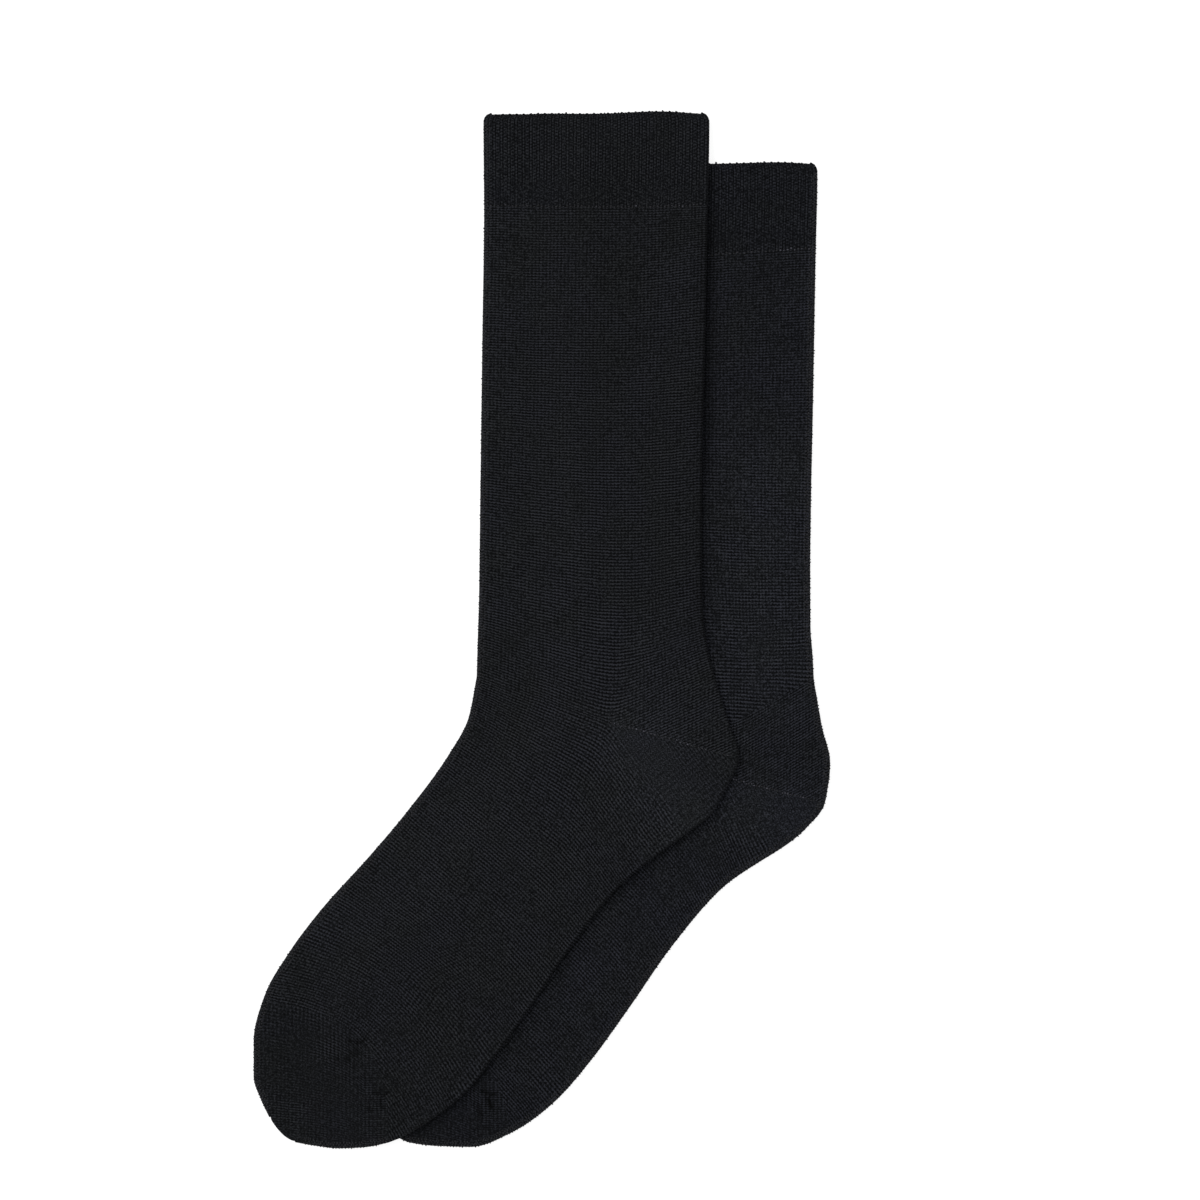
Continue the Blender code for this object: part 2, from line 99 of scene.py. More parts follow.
# %% Plan of the front sock
# name, then x and y at the instep, at the knee and at the sole
FRONT_SECTIONS = (
    ("cuff_top", (-19.8, 206.6), (29.2, 206.6), (63.4, 206.6)),
    ("cuff_corner", (-22.5, 205.2), (29.3, 205.2), (65.9, 205.2)),
    ("cuff_lip", (-23.4, 203.0), (29.4, 203.0), (66.9, 202.8)),
    ("cuff_end", (-23.2, 169.4), (29.0, 168.4), (66.2, 169.0)),
    ("calf_top", (-23.4, 149.4), (28.8, 148.2), (65.9, 151.8)),
    ("calf", (-23.9, 117.8), (28.6, 116.2), (65.3, 119.0)),
    ("shin", (-24.3, 87.2), (28.4, 84.4), (64.4, 86.6)),
    ("low_shin", (-24.7, 56.8), (28.4, 52.0), (63.9, 55.0)),
    ("ankle_top", (-25.0, 31.0), (28.4, 24.0), (63.8, 28.0)),
    ("ankle", (-25.3, 10.2), (28.4, 0.0), (64.3, 6.6)),
    ("low_ankle", (-25.8, -5.4), (28.4, -20.0), (66.1, -7.6)),
    ("heel_start", (-26.1, -16.6), (27.0, -35.6), (68.7, -18.6)),
    ("heel_upper", (-26.1, -17.4), (27.0, -36.4), (75.0, -38.4)),
    ("heel_gore", (-26.1, -17.9), (27.0, -37.2), (78.8, -51.6)),
    ("heel_lower", (-26.2, -18.4), (26.9, -37.8), (73.4, -64.4)),
    ("heel_base", (-26.2, -18.9), (26.9, -38.4), (67.8, -74.0)),
    ("heel_end", (-26.2, -19.4), (26.8, -39.0), (58.8, -81.2)),
    ("foot_back", (-29.6, -36.3), (15.2, -63.2), (39.6, -95.5)),
    ("arch", (-36.9, -49.8), (7.2, -80.4), (28.5, -105.4)),
    ("middle_foot", (-54.3, -73.6), (-13.6, -106.4), (9.7, -129.7)),
    ("front_foot", (-69.5, -91.6), (-27.6, -124.8), (-3.9, -150.1)),
    ("ball", (-88.2, -112.3), (-51.0, -135.6), (-18.6, -170.5)),
    ("toe_roots", (-101.1, -129.4), (-60.4, -149.2), (-32.4, -187.2)),
    ("toe_start", (-111.5, -148.0), (-71.2, -165.2), (-60.8, -205.2)),
    ("toe_one", (-115.5, -165.0), (-82.6, -180.8), (-71.6, -207.5)),
    ("toe_two", (-115.5, -179.4), (-93.6, -189.4), (-82.0, -208.1)),
    ("toe_three", (-112.5, -188.8), (-100.6, -196.2), (-91.8, -207.0)),
    ("toe_tip", (-109.3, -195.6), (-103.2, -201.4), (-98.6, -205.8)),
)

# %% Plan of the back sock
BACK_SECTIONS = (
    ("cuff_top", (23.4, 186.4), (72.4, 186.4), (107.0, 186.4)),
    ("cuff_corner", (21.0, 185.0), (72.6, 185.0), (109.3, 185.0)),
    ("cuff_lip", (20.4, 182.8), (72.8, 182.8), (110.2, 182.8)),
    ("cuff_end", (20.0, 146.4), (72.4, 149.8), (109.6, 152.0)),
    ("calf_top", (19.9, 131.0), (72.2, 132.4), (109.3, 134.6)),
    ("calf", (19.8, 114.8), (72.0, 116.0), (109.0, 117.6)),
    ("shin", (19.5, 85.0), (71.8, 84.4), (108.4, 84.8)),
    ("low_shin", (19.2, 54.4), (72.0, 52.0), (107.7, 50.8)),
    ("ankle_top", (18.9, 28.0), (72.6, 24.0), (107.4, 23.6)),
    ("ankle", (18.4, 6.4), (73.6, 0.0), (107.5, 1.0)),
    ("low_ankle", (17.3, -13.0), (74.6, -20.4), (108.4, -11.6)),
    ("heel_start", (16.2, -22.6), (76.0, -37.0), (108.8, -20.2)),
    ("heel_top", (14.6, -31.6), (76.0, -54.0), (112.3, -40.0)),
    ("heel_upper", (14.0, -34.0), (76.1, -59.4), (115.4, -54.0)),
    ("heel_gore", (13.6, -35.2), (76.2, -60.2), (113.3, -70.0)),
    ("heel_lower", (13.3, -36.2), (76.3, -60.9), (105.8, -80.0)),
    ("heel_base", (13.0, -37.1), (76.4, -61.6), (99.2, -85.8)),
    ("heel_end", (12.6, -38.0), (76.4, -62.2), (92.3, -90.3)),
    ("foot_back", (10.0, -42.4), (65.0, -63.6), (82.3, -96.5)),
    ("arch", (3.6, -48.8), (53.4, -71.8), (73.6, -102.7)),
    ("middle_foot", (-12.8, -71.6), (29.6, -99.4), (52.9, -126.1)),
    ("front_foot", (-34.4, -96.8), (8.6, -126.4), (34.2, -152.9)),
    ("ball", (-50.8, -116.0), (-8.2, -147.4), (19.0, -173.7)),
    ("toe_roots", (-61.2, -129.6), (-20.8, -162.4), (4.2, -190.3)),
    ("toe_start", (-70.8, -148.0), (-24.8, -172.6), (-12.2, -201.9)),
    ("toe_one", (-75.2, -164.0), (-42.6, -180.6), (-28.4, -207.6)),
    ("toe_two", (-74.6, -180.0), (-53.8, -189.2), (-42.4, -207.2)),
    ("toe_three", (-71.6, -188.8), (-60.6, -196.0), (-53.2, -205.8)),
    ("toe_tip", (-67.6, -194.6), (-62.2, -199.2), (-58.6, -203.4)),
)
print("sections:", len(FRONT_SECTIONS), "and", len(BACK_SECTIONS))

# %% [markdown]
# ## A curve that never overshoots
#
# A plain cubic spline would swing past its points where the outline turns at the heel. A cubic whose slope
# at each point is the harmonic mean of the slopes on both sides never does, so the cloth stays smooth. The
# curve is worked out span by span, because the line of the knees all but stops along the heel.


# %% A smooth curve through a table of points
def slopes_without_overshoot(stations, values):
    """Slope at each station: the weighted harmonic mean of the slopes on both sides, 0 where they turn."""
    steps = np.diff(stations)[:, None]
    rises = np.diff(values, axis=0) / steps
    slopes = np.zeros_like(values)
    slopes[0] = rises[0]
    slopes[-1] = rises[-1]
    before = rises[:-1]
    after = rises[1:]
    weight_before = 2 * steps[1:] + steps[:-1]
    weight_after = steps[1:] + 2 * steps[:-1]
    same_way = before * after > 0
    safe_before = np.where(same_way, before, 1)
    safe_after = np.where(same_way, after, 1)
    mean = (weight_before + weight_after) / (weight_before / safe_before + weight_after / safe_after)
    slopes[1:-1] = np.where(same_way, mean, 0)
    return slopes


def curve_at(stations, values, slopes, wanted):
    """Cubic Hermite curve: each end's value and slope, weighted by cubics of the way between them."""
    index = np.clip(np.searchsorted(stations, wanted, side="right") - 1, 0, len(stations) - 2)
    step = (stations[index + 1] - stations[index])[:, None]
    part = ((wanted - stations[index])[:, None]) / step
    return (
        (1 + 2 * part) * (1 - part) ** 2 * values[index]
        + part * (1 - part) ** 2 * step * slopes[index, 0]
        + part**2 * (3 - 2 * part) * values[index + 1]
        + part**2 * (part - 1) * step * slopes[index, 1]
    )


# %% The plan as three lengthwise lines
class Plan:
    """One sock's plan. A station is the mean length along its three lines from the top of the cuff."""

    def __init__(self, sections):
        self.names, *lines = zip(*sections)
        self.lines = {line: np.array(points) for line, points in zip(("instep", "knee", "sole"), lines)}
        moves = [np.linalg.norm(np.diff(points, axis=0), axis=1) for points in self.lines.values()]
        self.stations = np.concatenate([[0], np.cumsum(np.mean(moves, axis=0))])
        self.slopes = {line: self.span_slopes(points) for line, points in self.lines.items()}

    def span_slopes(self, points):
        """Slopes at both ends of each step from section to section, span by span."""
        bounds = [0, self.names.index("heel_start"), self.names.index("heel_end"), len(points) - 1]
        found = []
        for first, last in zip(bounds[:-1], bounds[1:]):
            slopes = slopes_without_overshoot(self.stations[first : last + 1], points[first : last + 1])
            found.append(np.stack([slopes[:-1], slopes[1:]], axis=1))
        return np.concatenate(found)

    def station(self, name):
        """The station of a named section."""
        return self.stations[self.names.index(name)]

    def at(self, line, wanted):
        """Points of one lengthwise line at the wanted stations."""
        return curve_at(self.stations, self.lines[line], self.slopes[line], wanted)

    def rows(self, first, last, spacing):
        """Stations from one section to another, each section kept, about as far apart as spacing."""
        start = self.names.index(first)
        end = self.names.index(last)
        found = [self.stations[start]]
        for index in range(start, end):
            length = self.stations[index + 1] - self.stations[index]
            steps = max(1, round(length / spacing))
            found += list(np.linspace(self.stations[index], self.stations[index + 1], steps + 1)[1:])
        return np.array(found)

    def outline(self, spacing):
        """The closed outline, down the instep and back up the sole."""
        wanted = self.rows(self.names[0], self.names[-1], spacing)
        return np.concatenate([self.at("instep", wanted), self.at("sole", wanted)[::-1]])


# %% Plans and outlines of both socks
PLANS = {"front": Plan(FRONT_SECTIONS), "back": Plan(BACK_SECTIONS)}
OUTLINE_SPACING = 4.0
OUTLINES = {sock: plan.outline(OUTLINE_SPACING) for sock, plan in PLANS.items()}
for sock, plan in PLANS.items():
    print(sock, "sock is", round(plan.stations[-1]), "mm long down its lines")

# %% [markdown]
# ## Where the pair lies
#
# The solids have the middle of the pair's outline over the origin. The same move puts the tables there.

# %% From the plan's place to the solids' place
both = np.concatenate(list(OUTLINES.values()))
cad_middle = np.array([(cad_low[i] + cad_high[i]) / 2 / MM for i in (0, 1)])
TO_FRAME = cad_middle - (both.min(axis=0) + both.max(axis=0)) / 2
print("the plans move by", np.round(TO_FRAME, 2), "mm")

# %% [markdown]
# ## Round the tube
#
# The grid's columns start at the instep, cross the upper layer, go round the fold at the sole, come back
# across the lower layer and round the fold at the instep. Each column has a place across the layer, from
# -1 at the instep to 1 at the sole, and a turn, which is 0 on top and half a turn underneath.

# %% Columns of every grid
LAYER_STEPS = WALES_ON_A_SIDE * COLUMNS_PER_WALE
FOLD_STEPS = WALES_ON_A_FOLD * COLUMNS_PER_WALE
fold_turn = np.linspace(0, math.pi, FOLD_STEPS + 1)[1:-1]
inner_steps = len(fold_turn)
ACROSS = np.concatenate(
    [np.linspace(-1, 1, LAYER_STEPS + 1), np.ones(inner_steps), np.linspace(1, -1, LAYER_STEPS + 1),
     -np.ones(inner_steps)]
)
TURN = np.concatenate(
    [np.zeros(LAYER_STEPS + 1), fold_turn, np.full(LAYER_STEPS + 1, math.pi), fold_turn[::-1]]
)
COLUMNS = len(ACROSS)
WALE = np.arange(COLUMNS) / COLUMNS_PER_WALE  # wale number of each column
UPPER = TURN == 0
LOWER = TURN == math.pi
KNEE_WALE = 35  # the rows bend most at this wale from the instep
KNEE = KNEE_WALE * COLUMNS_PER_WALE
KNEE_PLACE = ACROSS[KNEE]
print("columns round the tube:", COLUMNS)

# %% [markdown]
# ## What a sock lies on
#
# The back sock lies on the table. The front one lies on the back one and comes down to the table beside it
# in a gentle slope, as soft cloth does. Its height is a smooth step of the distance from the lower outline.


# %% Lift and slope of the front sock
RIB_HEIGHT = 0.3
RIB_RISE = RIB_HEIGHT / 2
REST_GAP = 0.3
LIFT = THICKNESS + RIB_RISE + REST_GAP
DRAPE_WIDTH = 26.0
print("the front sock lies", round(LIFT, 2), "mm higher")


def smooth_step(share):
    """0 below 0, 1 above 1, and 3t^2 - 2t^3 between."""
    share = np.clip(share, 0, 1)
    return share**2 * (3 - 2 * share)


# %% Distance from an outline
def distance_outside(points, outline):
    """Distance of each point from the nearest edge of a closed outline, 0 inside it."""
    along = np.roll(outline, -1, axis=0) - outline
    offset = points[:, None, :] - outline[None]
    share = (offset * along).sum(axis=2) / np.maximum((along**2).sum(axis=1), TINY)
    distance = np.linalg.norm(offset - np.clip(share, 0, 1)[..., None] * along, axis=2).min(axis=1)
    above = points[:, None, 1] < outline[None, :, 1]
    crosses = above != (points[:, None, 1] < (outline + along)[None, :, 1])
    rise = np.where(along[:, 1] == 0, TINY, along[:, 1])
    crossing = outline[:, 0] + (points[:, None, 1] - outline[:, 1]) * along[:, 0] / rise
    inside = (crosses & (points[:, None, 0] < crossing)).sum(axis=1) % 2 == 1
    return np.where(inside, 0, distance)


def outside(grid, outline):
    """distance_outside for a grid of points, one row of the grid at a time to save memory."""
    return np.stack([distance_outside(row, outline) for row in grid])


# %% The ground under each sock
def ground(sock, flat):
    """Height of what lies under a sock: 0 under the back one, LIFT times the step under the front one."""
    if sock == "back":
        return np.zeros(flat.shape[:2])
    return LIFT * smooth_step(1 - outside(flat, OUTLINES["back"]) / DRAPE_WIDTH)


# %% [markdown]
# ## Creases and ripples
#
# Cloth that has been worn, washed and smoothed by hand keeps shallow troughs and ridges. Each one here is a
# line with a width and a height, given one by one: long ones down the leg, short ones where the foot bends
# away from the leg, ripples near the folds, and the puckers of the toe pocket. They are uneven on purpose.
# The lower layer has the same ones at half the height, lifted off the table and never below it.

# %% Table of creases
# start, end, width and height of each line
CREASES = {
    "front": (
        ((-6, 150), (-11, 62), 9.0, 0.22),
        ((38, 160), (33, 96), 7.0, -0.14),
        ((12, 118), (17, 34), 11.0, 0.20),
        ((50, 92), (47, 30), 6.0, 0.16),
        ((-18, 52), (8, 30), 5.0, -0.16),
        ((-20, 20), (14, 6), 6.0, 0.20),
        ((-19, 2), (10, -12), 4.5, -0.18),
        ((30, 14), (54, 24), 5.0, 0.18),
        ((34, -10), (60, 2), 4.0, -0.16),
        ((-22, -24), (8, -50), 7.0, 0.20),
        ((36, -44), (60, -60), 6.0, 0.16),
        ((8, -70), (34, -84), 6.0, -0.14),
        ((-40, -72), (-8, -92), 8.0, 0.18),
        ((-30, -108), (4, -128), 6.0, -0.14),
        ((-80, -122), (-48, -136), 7.0, 0.16),
        ((-60, -150), (-38, -176), 5.0, 0.14),
    ),
    "back": (
        ((84, 120), (88, 60), 7.0, 0.18),
        ((92, 62), (108, 68), 2.6, 0.22),
        ((90, 54), (107, 59), 2.2, -0.18),
        ((92, 46), (108, 52), 2.4, 0.22),
        ((89, 37), (107, 42), 2.2, -0.16),
        ((93, 28), (108, 33), 2.6, 0.20),
        ((78, 8), (104, -14), 5.0, -0.16),
        ((84, -30), (108, -36), 5.0, 0.18),
        ((76, -70), (96, -78), 5.0, 0.16),
        ((34, -116), (56, -132), 6.0, -0.14),
        ((-4, -160), (18, -182), 6.0, 0.14),
    ),
}

PUCKERS = {
    "front": (
        ((-77.6, -164.2), (-75.0, -164.8), 0.6, -0.34),
        ((-73.8, -165.4), (-71.6, -165.0), 0.6, -0.38),
        ((-70.8, -161.6), (-71.8, -162.6), 0.6, -0.30),
        ((-74.4, -168.0), (-74.2, -170.0), 1.1, -0.24),
        ((-82.6, -171.6), (-81.2, -172.2), 0.6, -0.28),
        ((-78.4, -171.8), (-77.0, -172.8), 0.7, -0.34),
        ((-76.6, -168.6), (-76.4, -170.8), 0.5, -0.24),
        ((-67.0, -185.2), (-64.8, -185.8), 0.6, -0.30),
        ((-63.6, -186.4), (-61.8, -185.8), 0.6, -0.26),
        ((-64.4, -188.4), (-64.0, -191.2), 0.9, -0.24),
        ((-69.6, -191.4), (-67.8, -192.8), 0.7, -0.26),
    ),
    "back": (
        ((-24.2, -185.0), (-21.6, -185.8), 0.6, -0.36),
        ((-20.4, -186.6), (-18.8, -186.0), 0.6, -0.32),
        ((-21.4, -188.6), (-20.0, -191.6), 0.8, -0.34),
        ((-25.6, -191.0), (-24.2, -194.6), 0.8, -0.28),
    ),
}


def along_lines(flat, lines):
    """Sum over the lines of height times a bell curve of the distance from the line over its width."""
    total = np.zeros(flat.shape[:-1])
    for start, end, width, height in lines:
        start, end = np.array([start, end], float)
        along = end - start
        offset = flat - start
        share = np.clip((offset @ along) / (along @ along), 0, 1)
        distance = np.linalg.norm(offset - share[..., None] * along, axis=-1)
        total += height * np.exp(-((distance / width) ** 2))
    return total


def rows_in(table):
    """How many lines a table has for both socks together."""
    return sum(len(lines) for lines in table.values())


print("creases:", rows_in(CREASES), "puckers:", rows_in(PUCKERS))

# %% [markdown]
# ## The surface of the tube
#
# A row of stitches is not straight across the flat sock: it bends at its knee, softly down the leg and
# sharply at the heel. So a row is the straight chord between the two folds, pushed aside by a hump that is
# full at the knee, falls off on both sides like a hyperbola's arms and ends at the folds. Beside the
# heel's window the rows on the instep's side would cross each other, so there they go over evenly from
# the leg's last row to the foot's first. At a fold the cloth leaves the flat along the outline's normal
# and goes round in a half circle.

# %% How round the rows are at their knees, in shares of a row
ROUNDNESS = (
    ("cuff_end", 0.50),
    ("low_shin", 0.30),
    ("ankle", 0.16),
    ("heel_start", 0.03),
    ("heel_end", 0.02),
    ("foot_back", 0.06),
    ("arch", 0.18),
    ("middle_foot", 0.45),
    ("toe_tip", 0.50),
)


def down_table(plan, table, wanted):
    """A value that changes evenly from section to section of a table of names and values."""
    return np.interp(wanted, [plan.station(name) for name, _ in table], [value for _, value in table])


# %% Directions
NORMAL_STEP = 0.5  # the outline's direction is taken over this length both ways


def unit(vectors):
    """Each vector over its own length."""
    return vectors / np.maximum(np.linalg.norm(vectors, axis=-1, keepdims=True), TINY)


def outward(plan, line, wanted):
    """The outline's normal at one of its folds: the line's direction, turned away from the sock."""
    tangent = unit(plan.at(line, wanted + NORMAL_STEP) - plan.at(line, wanted - NORMAL_STEP))
    side = -1 if line == "instep" else 1
    return side * np.stack([-tangent[:, 1], tangent[:, 0]], axis=1)


# %% Rows bent at their knees
def bent_rows(plan, wanted):
    """Flat points of the rows, [row, column, xy]: P(u) = F + u (G - F) + (1 - q(u)) D.

    F and G are the centres of the folds, u the way along the chord, D the knee's distance from it, and
    q(u) = (sqrt((u - k)^2 + e^2) - e) / (sqrt(r^2 + e^2) - e), with the knee at u = k, the roundness e, and
    r the way from the knee to the fold on that side."""
    instep = plan.at("instep", wanted) - FOLD_RADIUS * outward(plan, "instep", wanted)
    sole = plan.at("sole", wanted) - FOLD_RADIUS * outward(plan, "sole", wanted)
    chord = sole - instep
    to_knee = plan.at("knee", wanted) - instep
    share = ((to_knee * chord).sum(axis=1) / (chord**2).sum(axis=1))[:, None]
    depth = to_knee - share * chord
    before = share * (ACROSS + 1) / (KNEE_PLACE + 1)
    after = 1 - (1 - share) * (1 - ACROSS) / (1 - KNEE_PLACE)
    way = np.where(ACROSS < KNEE_PLACE, before, after)
    round_part = down_table(plan, ROUNDNESS, wanted)[:, None]
    reach = np.where(ACROSS < KNEE_PLACE, share, 1 - share)
    fall = np.sqrt((way - share) ** 2 + round_part**2) - round_part
    fall /= np.sqrt(reach**2 + round_part**2) - round_part
    return instep[:, None] + way[..., None] * chord[:, None] + (1 - fall)[..., None] * depth[:, None]


# %% Points of the tube
def row_points(plan, wanted):
    """The rows' flat points, and the way out at the folds."""
    flat = bent_rows(plan, wanted)
    ends = np.array([plan.station("heel_start"), plan.station("heel_end")])
    first, last = plan.at("knee", ends)
    share = (plan.at("knee", wanted) - first) @ (last - first) / ((last - first) @ (last - first))
    leg_row, foot_row = bent_rows(plan, ends)
    beside = leg_row + np.clip(share, 0, 1)[:, None, None] * (foot_row - leg_row)
    in_window = (wanted > ends[0]) & (wanted < ends[1])
    chosen = in_window[:, None] & (ACROSS <= KNEE_PLACE)
    flat = np.where(chosen[..., None], beside, flat)
    out = np.where(
        (ACROSS >= 0)[None, :, None],
        outward(plan, "sole", wanted)[:, None],
        outward(plan, "instep", wanted)[:, None],
    )
    return flat, out * np.sin(TURN)[None, :, None]


def tube(sock, wanted, radius, relief=0):
    """One face of the cloth, [row, column, xyz]: the flat point, moved out at the folds by the radius times
    the sine of the turn, at the height of the ground, the fold's radius and the radius times its cosine."""
    flat, out = row_points(PLANS[sock], wanted)
    reach = np.reshape(radius, (-1, 1)) + relief + np.zeros((len(wanted), COLUMNS))
    points = np.empty(flat.shape[:2] + (3,))
    points[..., :2] = flat + out * reach[..., None]
    points[..., 2] = ground(sock, points[..., :2]) + FOLD_RADIUS + reach * np.cos(TURN)
    return points


# %% [markdown]
# The creases go into the outer face and fade out towards the folds. On the back sock they also fade out
# where the front sock presses on it.

# %% Lay the creases into the outer face
PRESSED = 6.0  # the creases come back within this distance from the front sock's edge
UNDERNEATH = 0.5
CREASE_FADE = 6  # power of the place across


def crease(sock, points):
    """Adds the lines' heights to an outer face. The creases fade by 1 - u^6, u being the place across."""
    flat = points[..., :2]
    height = along_lines(flat, CREASES[sock]) * (1 - ACROSS**CREASE_FADE)
    height += along_lines(flat, PUCKERS[sock])
    below = UNDERNEATH * np.minimum(np.abs(height), HOLLOW)
    if sock == "back":
        height *= smooth_step(outside(flat, OUTLINES["front"]) / PRESSED)
    points[..., 2] += np.where(UPPER, height, 0) + np.where(LOWER, below, 0)
    return points


# %% [markdown]
# ## Relief of the knit
#
# On the plain knit each wale stands up as a fine ridge. In the cuff a knit wale and a purl wale take turns,
# so low ribs twice as wide lie under the fine ridges, and each stitch is a small bump. Both are real relief
# in the mesh. The stitches of the plain knit, 1.2 mm long and some 80 000 in all, are bump.

# %% Relief of the plain knit and of the ribs
WALE_DEPTH = 0.10
CUFF_COURSE = 1.3  # height of one row of stitches in the cuff
CUFF_STITCH = 0.04  # half the height of a bump
RIB_MOST = 0.3  # the ribs are stretched flat: this share of their height shows at the top
RIB_LEAST = 0.1
RIB_WALE = 0.03  # each wale of the rib also stands up by this
RIB_FADE = 14.0
JOIN = 4.0  # length over which one relief goes over into the next


def rib_relief(station, end):
    """Ribs: a cosine of half the wale number. Stitches: its product with a cosine of the course number, so
    they sit half a stitch later on purl wales. Underneath, the ribs' tops are level with the plain knit,
    so the cuff lies flat."""
    down = station[:, None]
    rib = -np.cos(math.pi * WALE)[None]
    stitch = -rib * np.cos(2 * math.pi * down / CUFF_COURSE)
    strength = smooth_step((end - down) / RIB_FADE) * (RIB_MOST - RIB_LEAST) + RIB_LEAST
    relief = strength * RIB_RISE * rib + RIB_WALE * np.cos(2 * math.pi * WALE) + CUFF_STITCH * stitch
    return np.where(LOWER, relief - RIB_RISE - CUFF_STITCH, relief)


def ridges(wale):
    """A ridge on each wale: minus half the depth times one minus the cosine of the wale number."""
    return -WALE_DEPTH * (0.5 - 0.5 * np.cos(2 * math.pi * wale))


def plain_relief(plan, wanted):
    """Ridges that start as the cuff's relief and fade where the toe is set in."""
    end = plan.station("cuff_end")
    cuff = rib_relief(np.array([end]), end)
    from_cuff = smooth_step((wanted - end) / JOIN)[:, None]
    to_toe = smooth_step((plan.station("toe_start") - wanted) / JOIN)[:, None]
    return (1 - from_cuff) * cuff + from_cuff * to_toe * ridges(WALE)


# %% [markdown]
# ## Counting stitches
#
# The pattern of stitches follows the cloth, so each corner of the mesh carries a wale number and a course
# number in a UV map. Down the leg and the foot the courses are counted row by row. A heel is knitted in
# short rows that end on the gore line: above it they belong to the leg, below it to the foot, so the
# count jumps there, and that jump is the visible line. Over the toes the courses turn level.

# %% Course heights down the sock
COURSE_HEIGHTS = (
    ("cuff_end", 1.06),
    ("calf", 1.11),
    ("low_shin", 1.215),
    ("low_ankle", 1.39),
    ("heel_start", 1.43),
    ("foot_back", 1.43),
    ("arch", 1.30),
    ("front_foot", 1.22),
    ("toe_start", 1.18),
)
HEEL_COURSE = 1.17
TOE_COURSE = 0.88
TOE_WALE = 1.55
TOE_FLATTENS = 40.0  # depth in the toe over which its courses turn level
TOE_LOOSER = 3.6  # the toe's first courses are looser: over its depth this many fewer fit in
TOE_SETTLES = 15.0
TOE_ROUNDS = 4  # times the toe's depth is worked out anew
FINE_STEPS = 2000
FAR = 200  # a row is drawn out by this many of its last steps


# %% Count of the courses
def courses_down(plan, wanted):
    """Course number at each station: the sum of short steps down the line of the knees, each divided by the
    height of a course."""
    fine = np.linspace(0, plan.stations[-1], FINE_STEPS)
    steps = np.linalg.norm(np.diff(plan.at("knee", fine), axis=0), axis=1)
    heights = down_table(plan, COURSE_HEIGHTS, fine[1:])
    return np.interp(wanted, fine, np.concatenate([[0], np.cumsum(steps / heights)]))


for sock, plan in PLANS.items():
    print(sock, "sock has", round(courses_down(plan, plan.stations[-1:])[0]), "courses")


# %% Wales that go straight on
def past_ends(values):
    """A row's values with a far value added at each end, in line with the last two."""
    first = values[0] - FAR * (values[1] - values[0])
    last = values[-1] + FAR * (values[-1] - values[-2])
    return np.concatenate([[first], values, [last]])


def carry_on(plan, name, way, height, flat):
    """Wale and course where the wales go straight on, in the direction way, from the sole part of a row.
    The place across that direction finds the wale, and the distance from the row gives the course."""
    station = np.array([plan.station(name)])
    row = row_points(plan, station)[0][0, KNEE : LAYER_STEPS + 1]
    way = unit(np.array(way, float))
    side = np.array([-way[1], way[0]])
    place = past_ends(row @ side)
    order = np.argsort(place)
    wale = np.interp(flat @ side, place[order], past_ends(WALE[KNEE : LAYER_STEPS + 1])[order])
    along = np.interp(flat @ side, place[order], past_ends(row @ way)[order])
    course = courses_down(plan, station)[0] + (flat @ way - along) / height
    return np.stack([wale + round_fold(), course], axis=-1)


def round_fold():
    """What a fold adds to a wale number that is read from above: its own wales, by the turn."""
    return WALES_ON_A_FOLD * TURN / math.pi * ACROSS + np.zeros(COLUMNS)


# %% [markdown]
# The leg counts by rows. In two places on the heel's and the sole's side the courses keep their direction
# until the next pocket cuts them off: past the roots of the toes, and above the back sock's heel.

# %% Stitch numbers of the tube
FOOT_WAY = (-0.80, -0.60)
LEG_WAY = (0, -1)
STRAIGHT_ON = {  # from row to row, the way down and the height of a course
    "front": (("toe_roots", "toe_start", FOOT_WAY, 1.10),),
    "back": (("ankle", "heel_start", LEG_WAY, 1.22), ("toe_roots", "toe_start", FOOT_WAY, 1.10)),
}


def by_rows(course):
    """Stitch numbers by rows: each column has its wale number and each row its course number."""
    return np.stack(np.broadcast_arrays(WALE[None], course[:, None]), axis=-1)


def tube_stitches(sock, wanted, flat):
    """By rows; where they go straight on, the carried numbers, with each row's count kept at its knee."""
    plan = PLANS[sock]
    numbers = by_rows(courses_down(plan, wanted))
    for first, last, way, height in STRAIGHT_ON[sock]:
        past = (wanted > plan.station(first)) & (wanted <= plan.station(last))
        if past.any():
            onward = carry_on(plan, first, way, height, flat[past])
            onward[..., 1] += (numbers[past, KNEE, 1] - onward[:, KNEE, 1])[:, None]
            numbers[past] = np.where((ACROSS > KNEE_PLACE)[:, None], onward, numbers[past])
    return numbers


# %% Stitch numbers of the toes
def toe_stitches(plan, flat):
    """Courses: the depth below the pocket's first row, whose slant fades with the depth. Wales: by x."""
    row = row_points(plan, np.array([plan.station("toe_start")]))[0][0, : KNEE + 1]
    knee = row[-1]
    slant = np.interp(flat[..., 0], row[:, 0], row[:, 1]) - knee[1]
    depth = knee[1] + slant - flat[..., 1]
    for _ in range(TOE_ROUNDS):
        depth = knee[1] + slant * np.exp(-np.maximum(depth, 0) / TOE_FLATTENS) - flat[..., 1]
    course = courses_down(plan, np.array([plan.station("toe_start")]))[0] + depth / TOE_COURSE
    course -= TOE_LOOSER * (1 - np.exp(-np.maximum(depth, 0) / TOE_SETTLES))
    wale = WALE[KNEE] + (flat[..., 0] - knee[0]) / TOE_WALE + round_fold()
    return np.stack([wale, course], axis=-1)
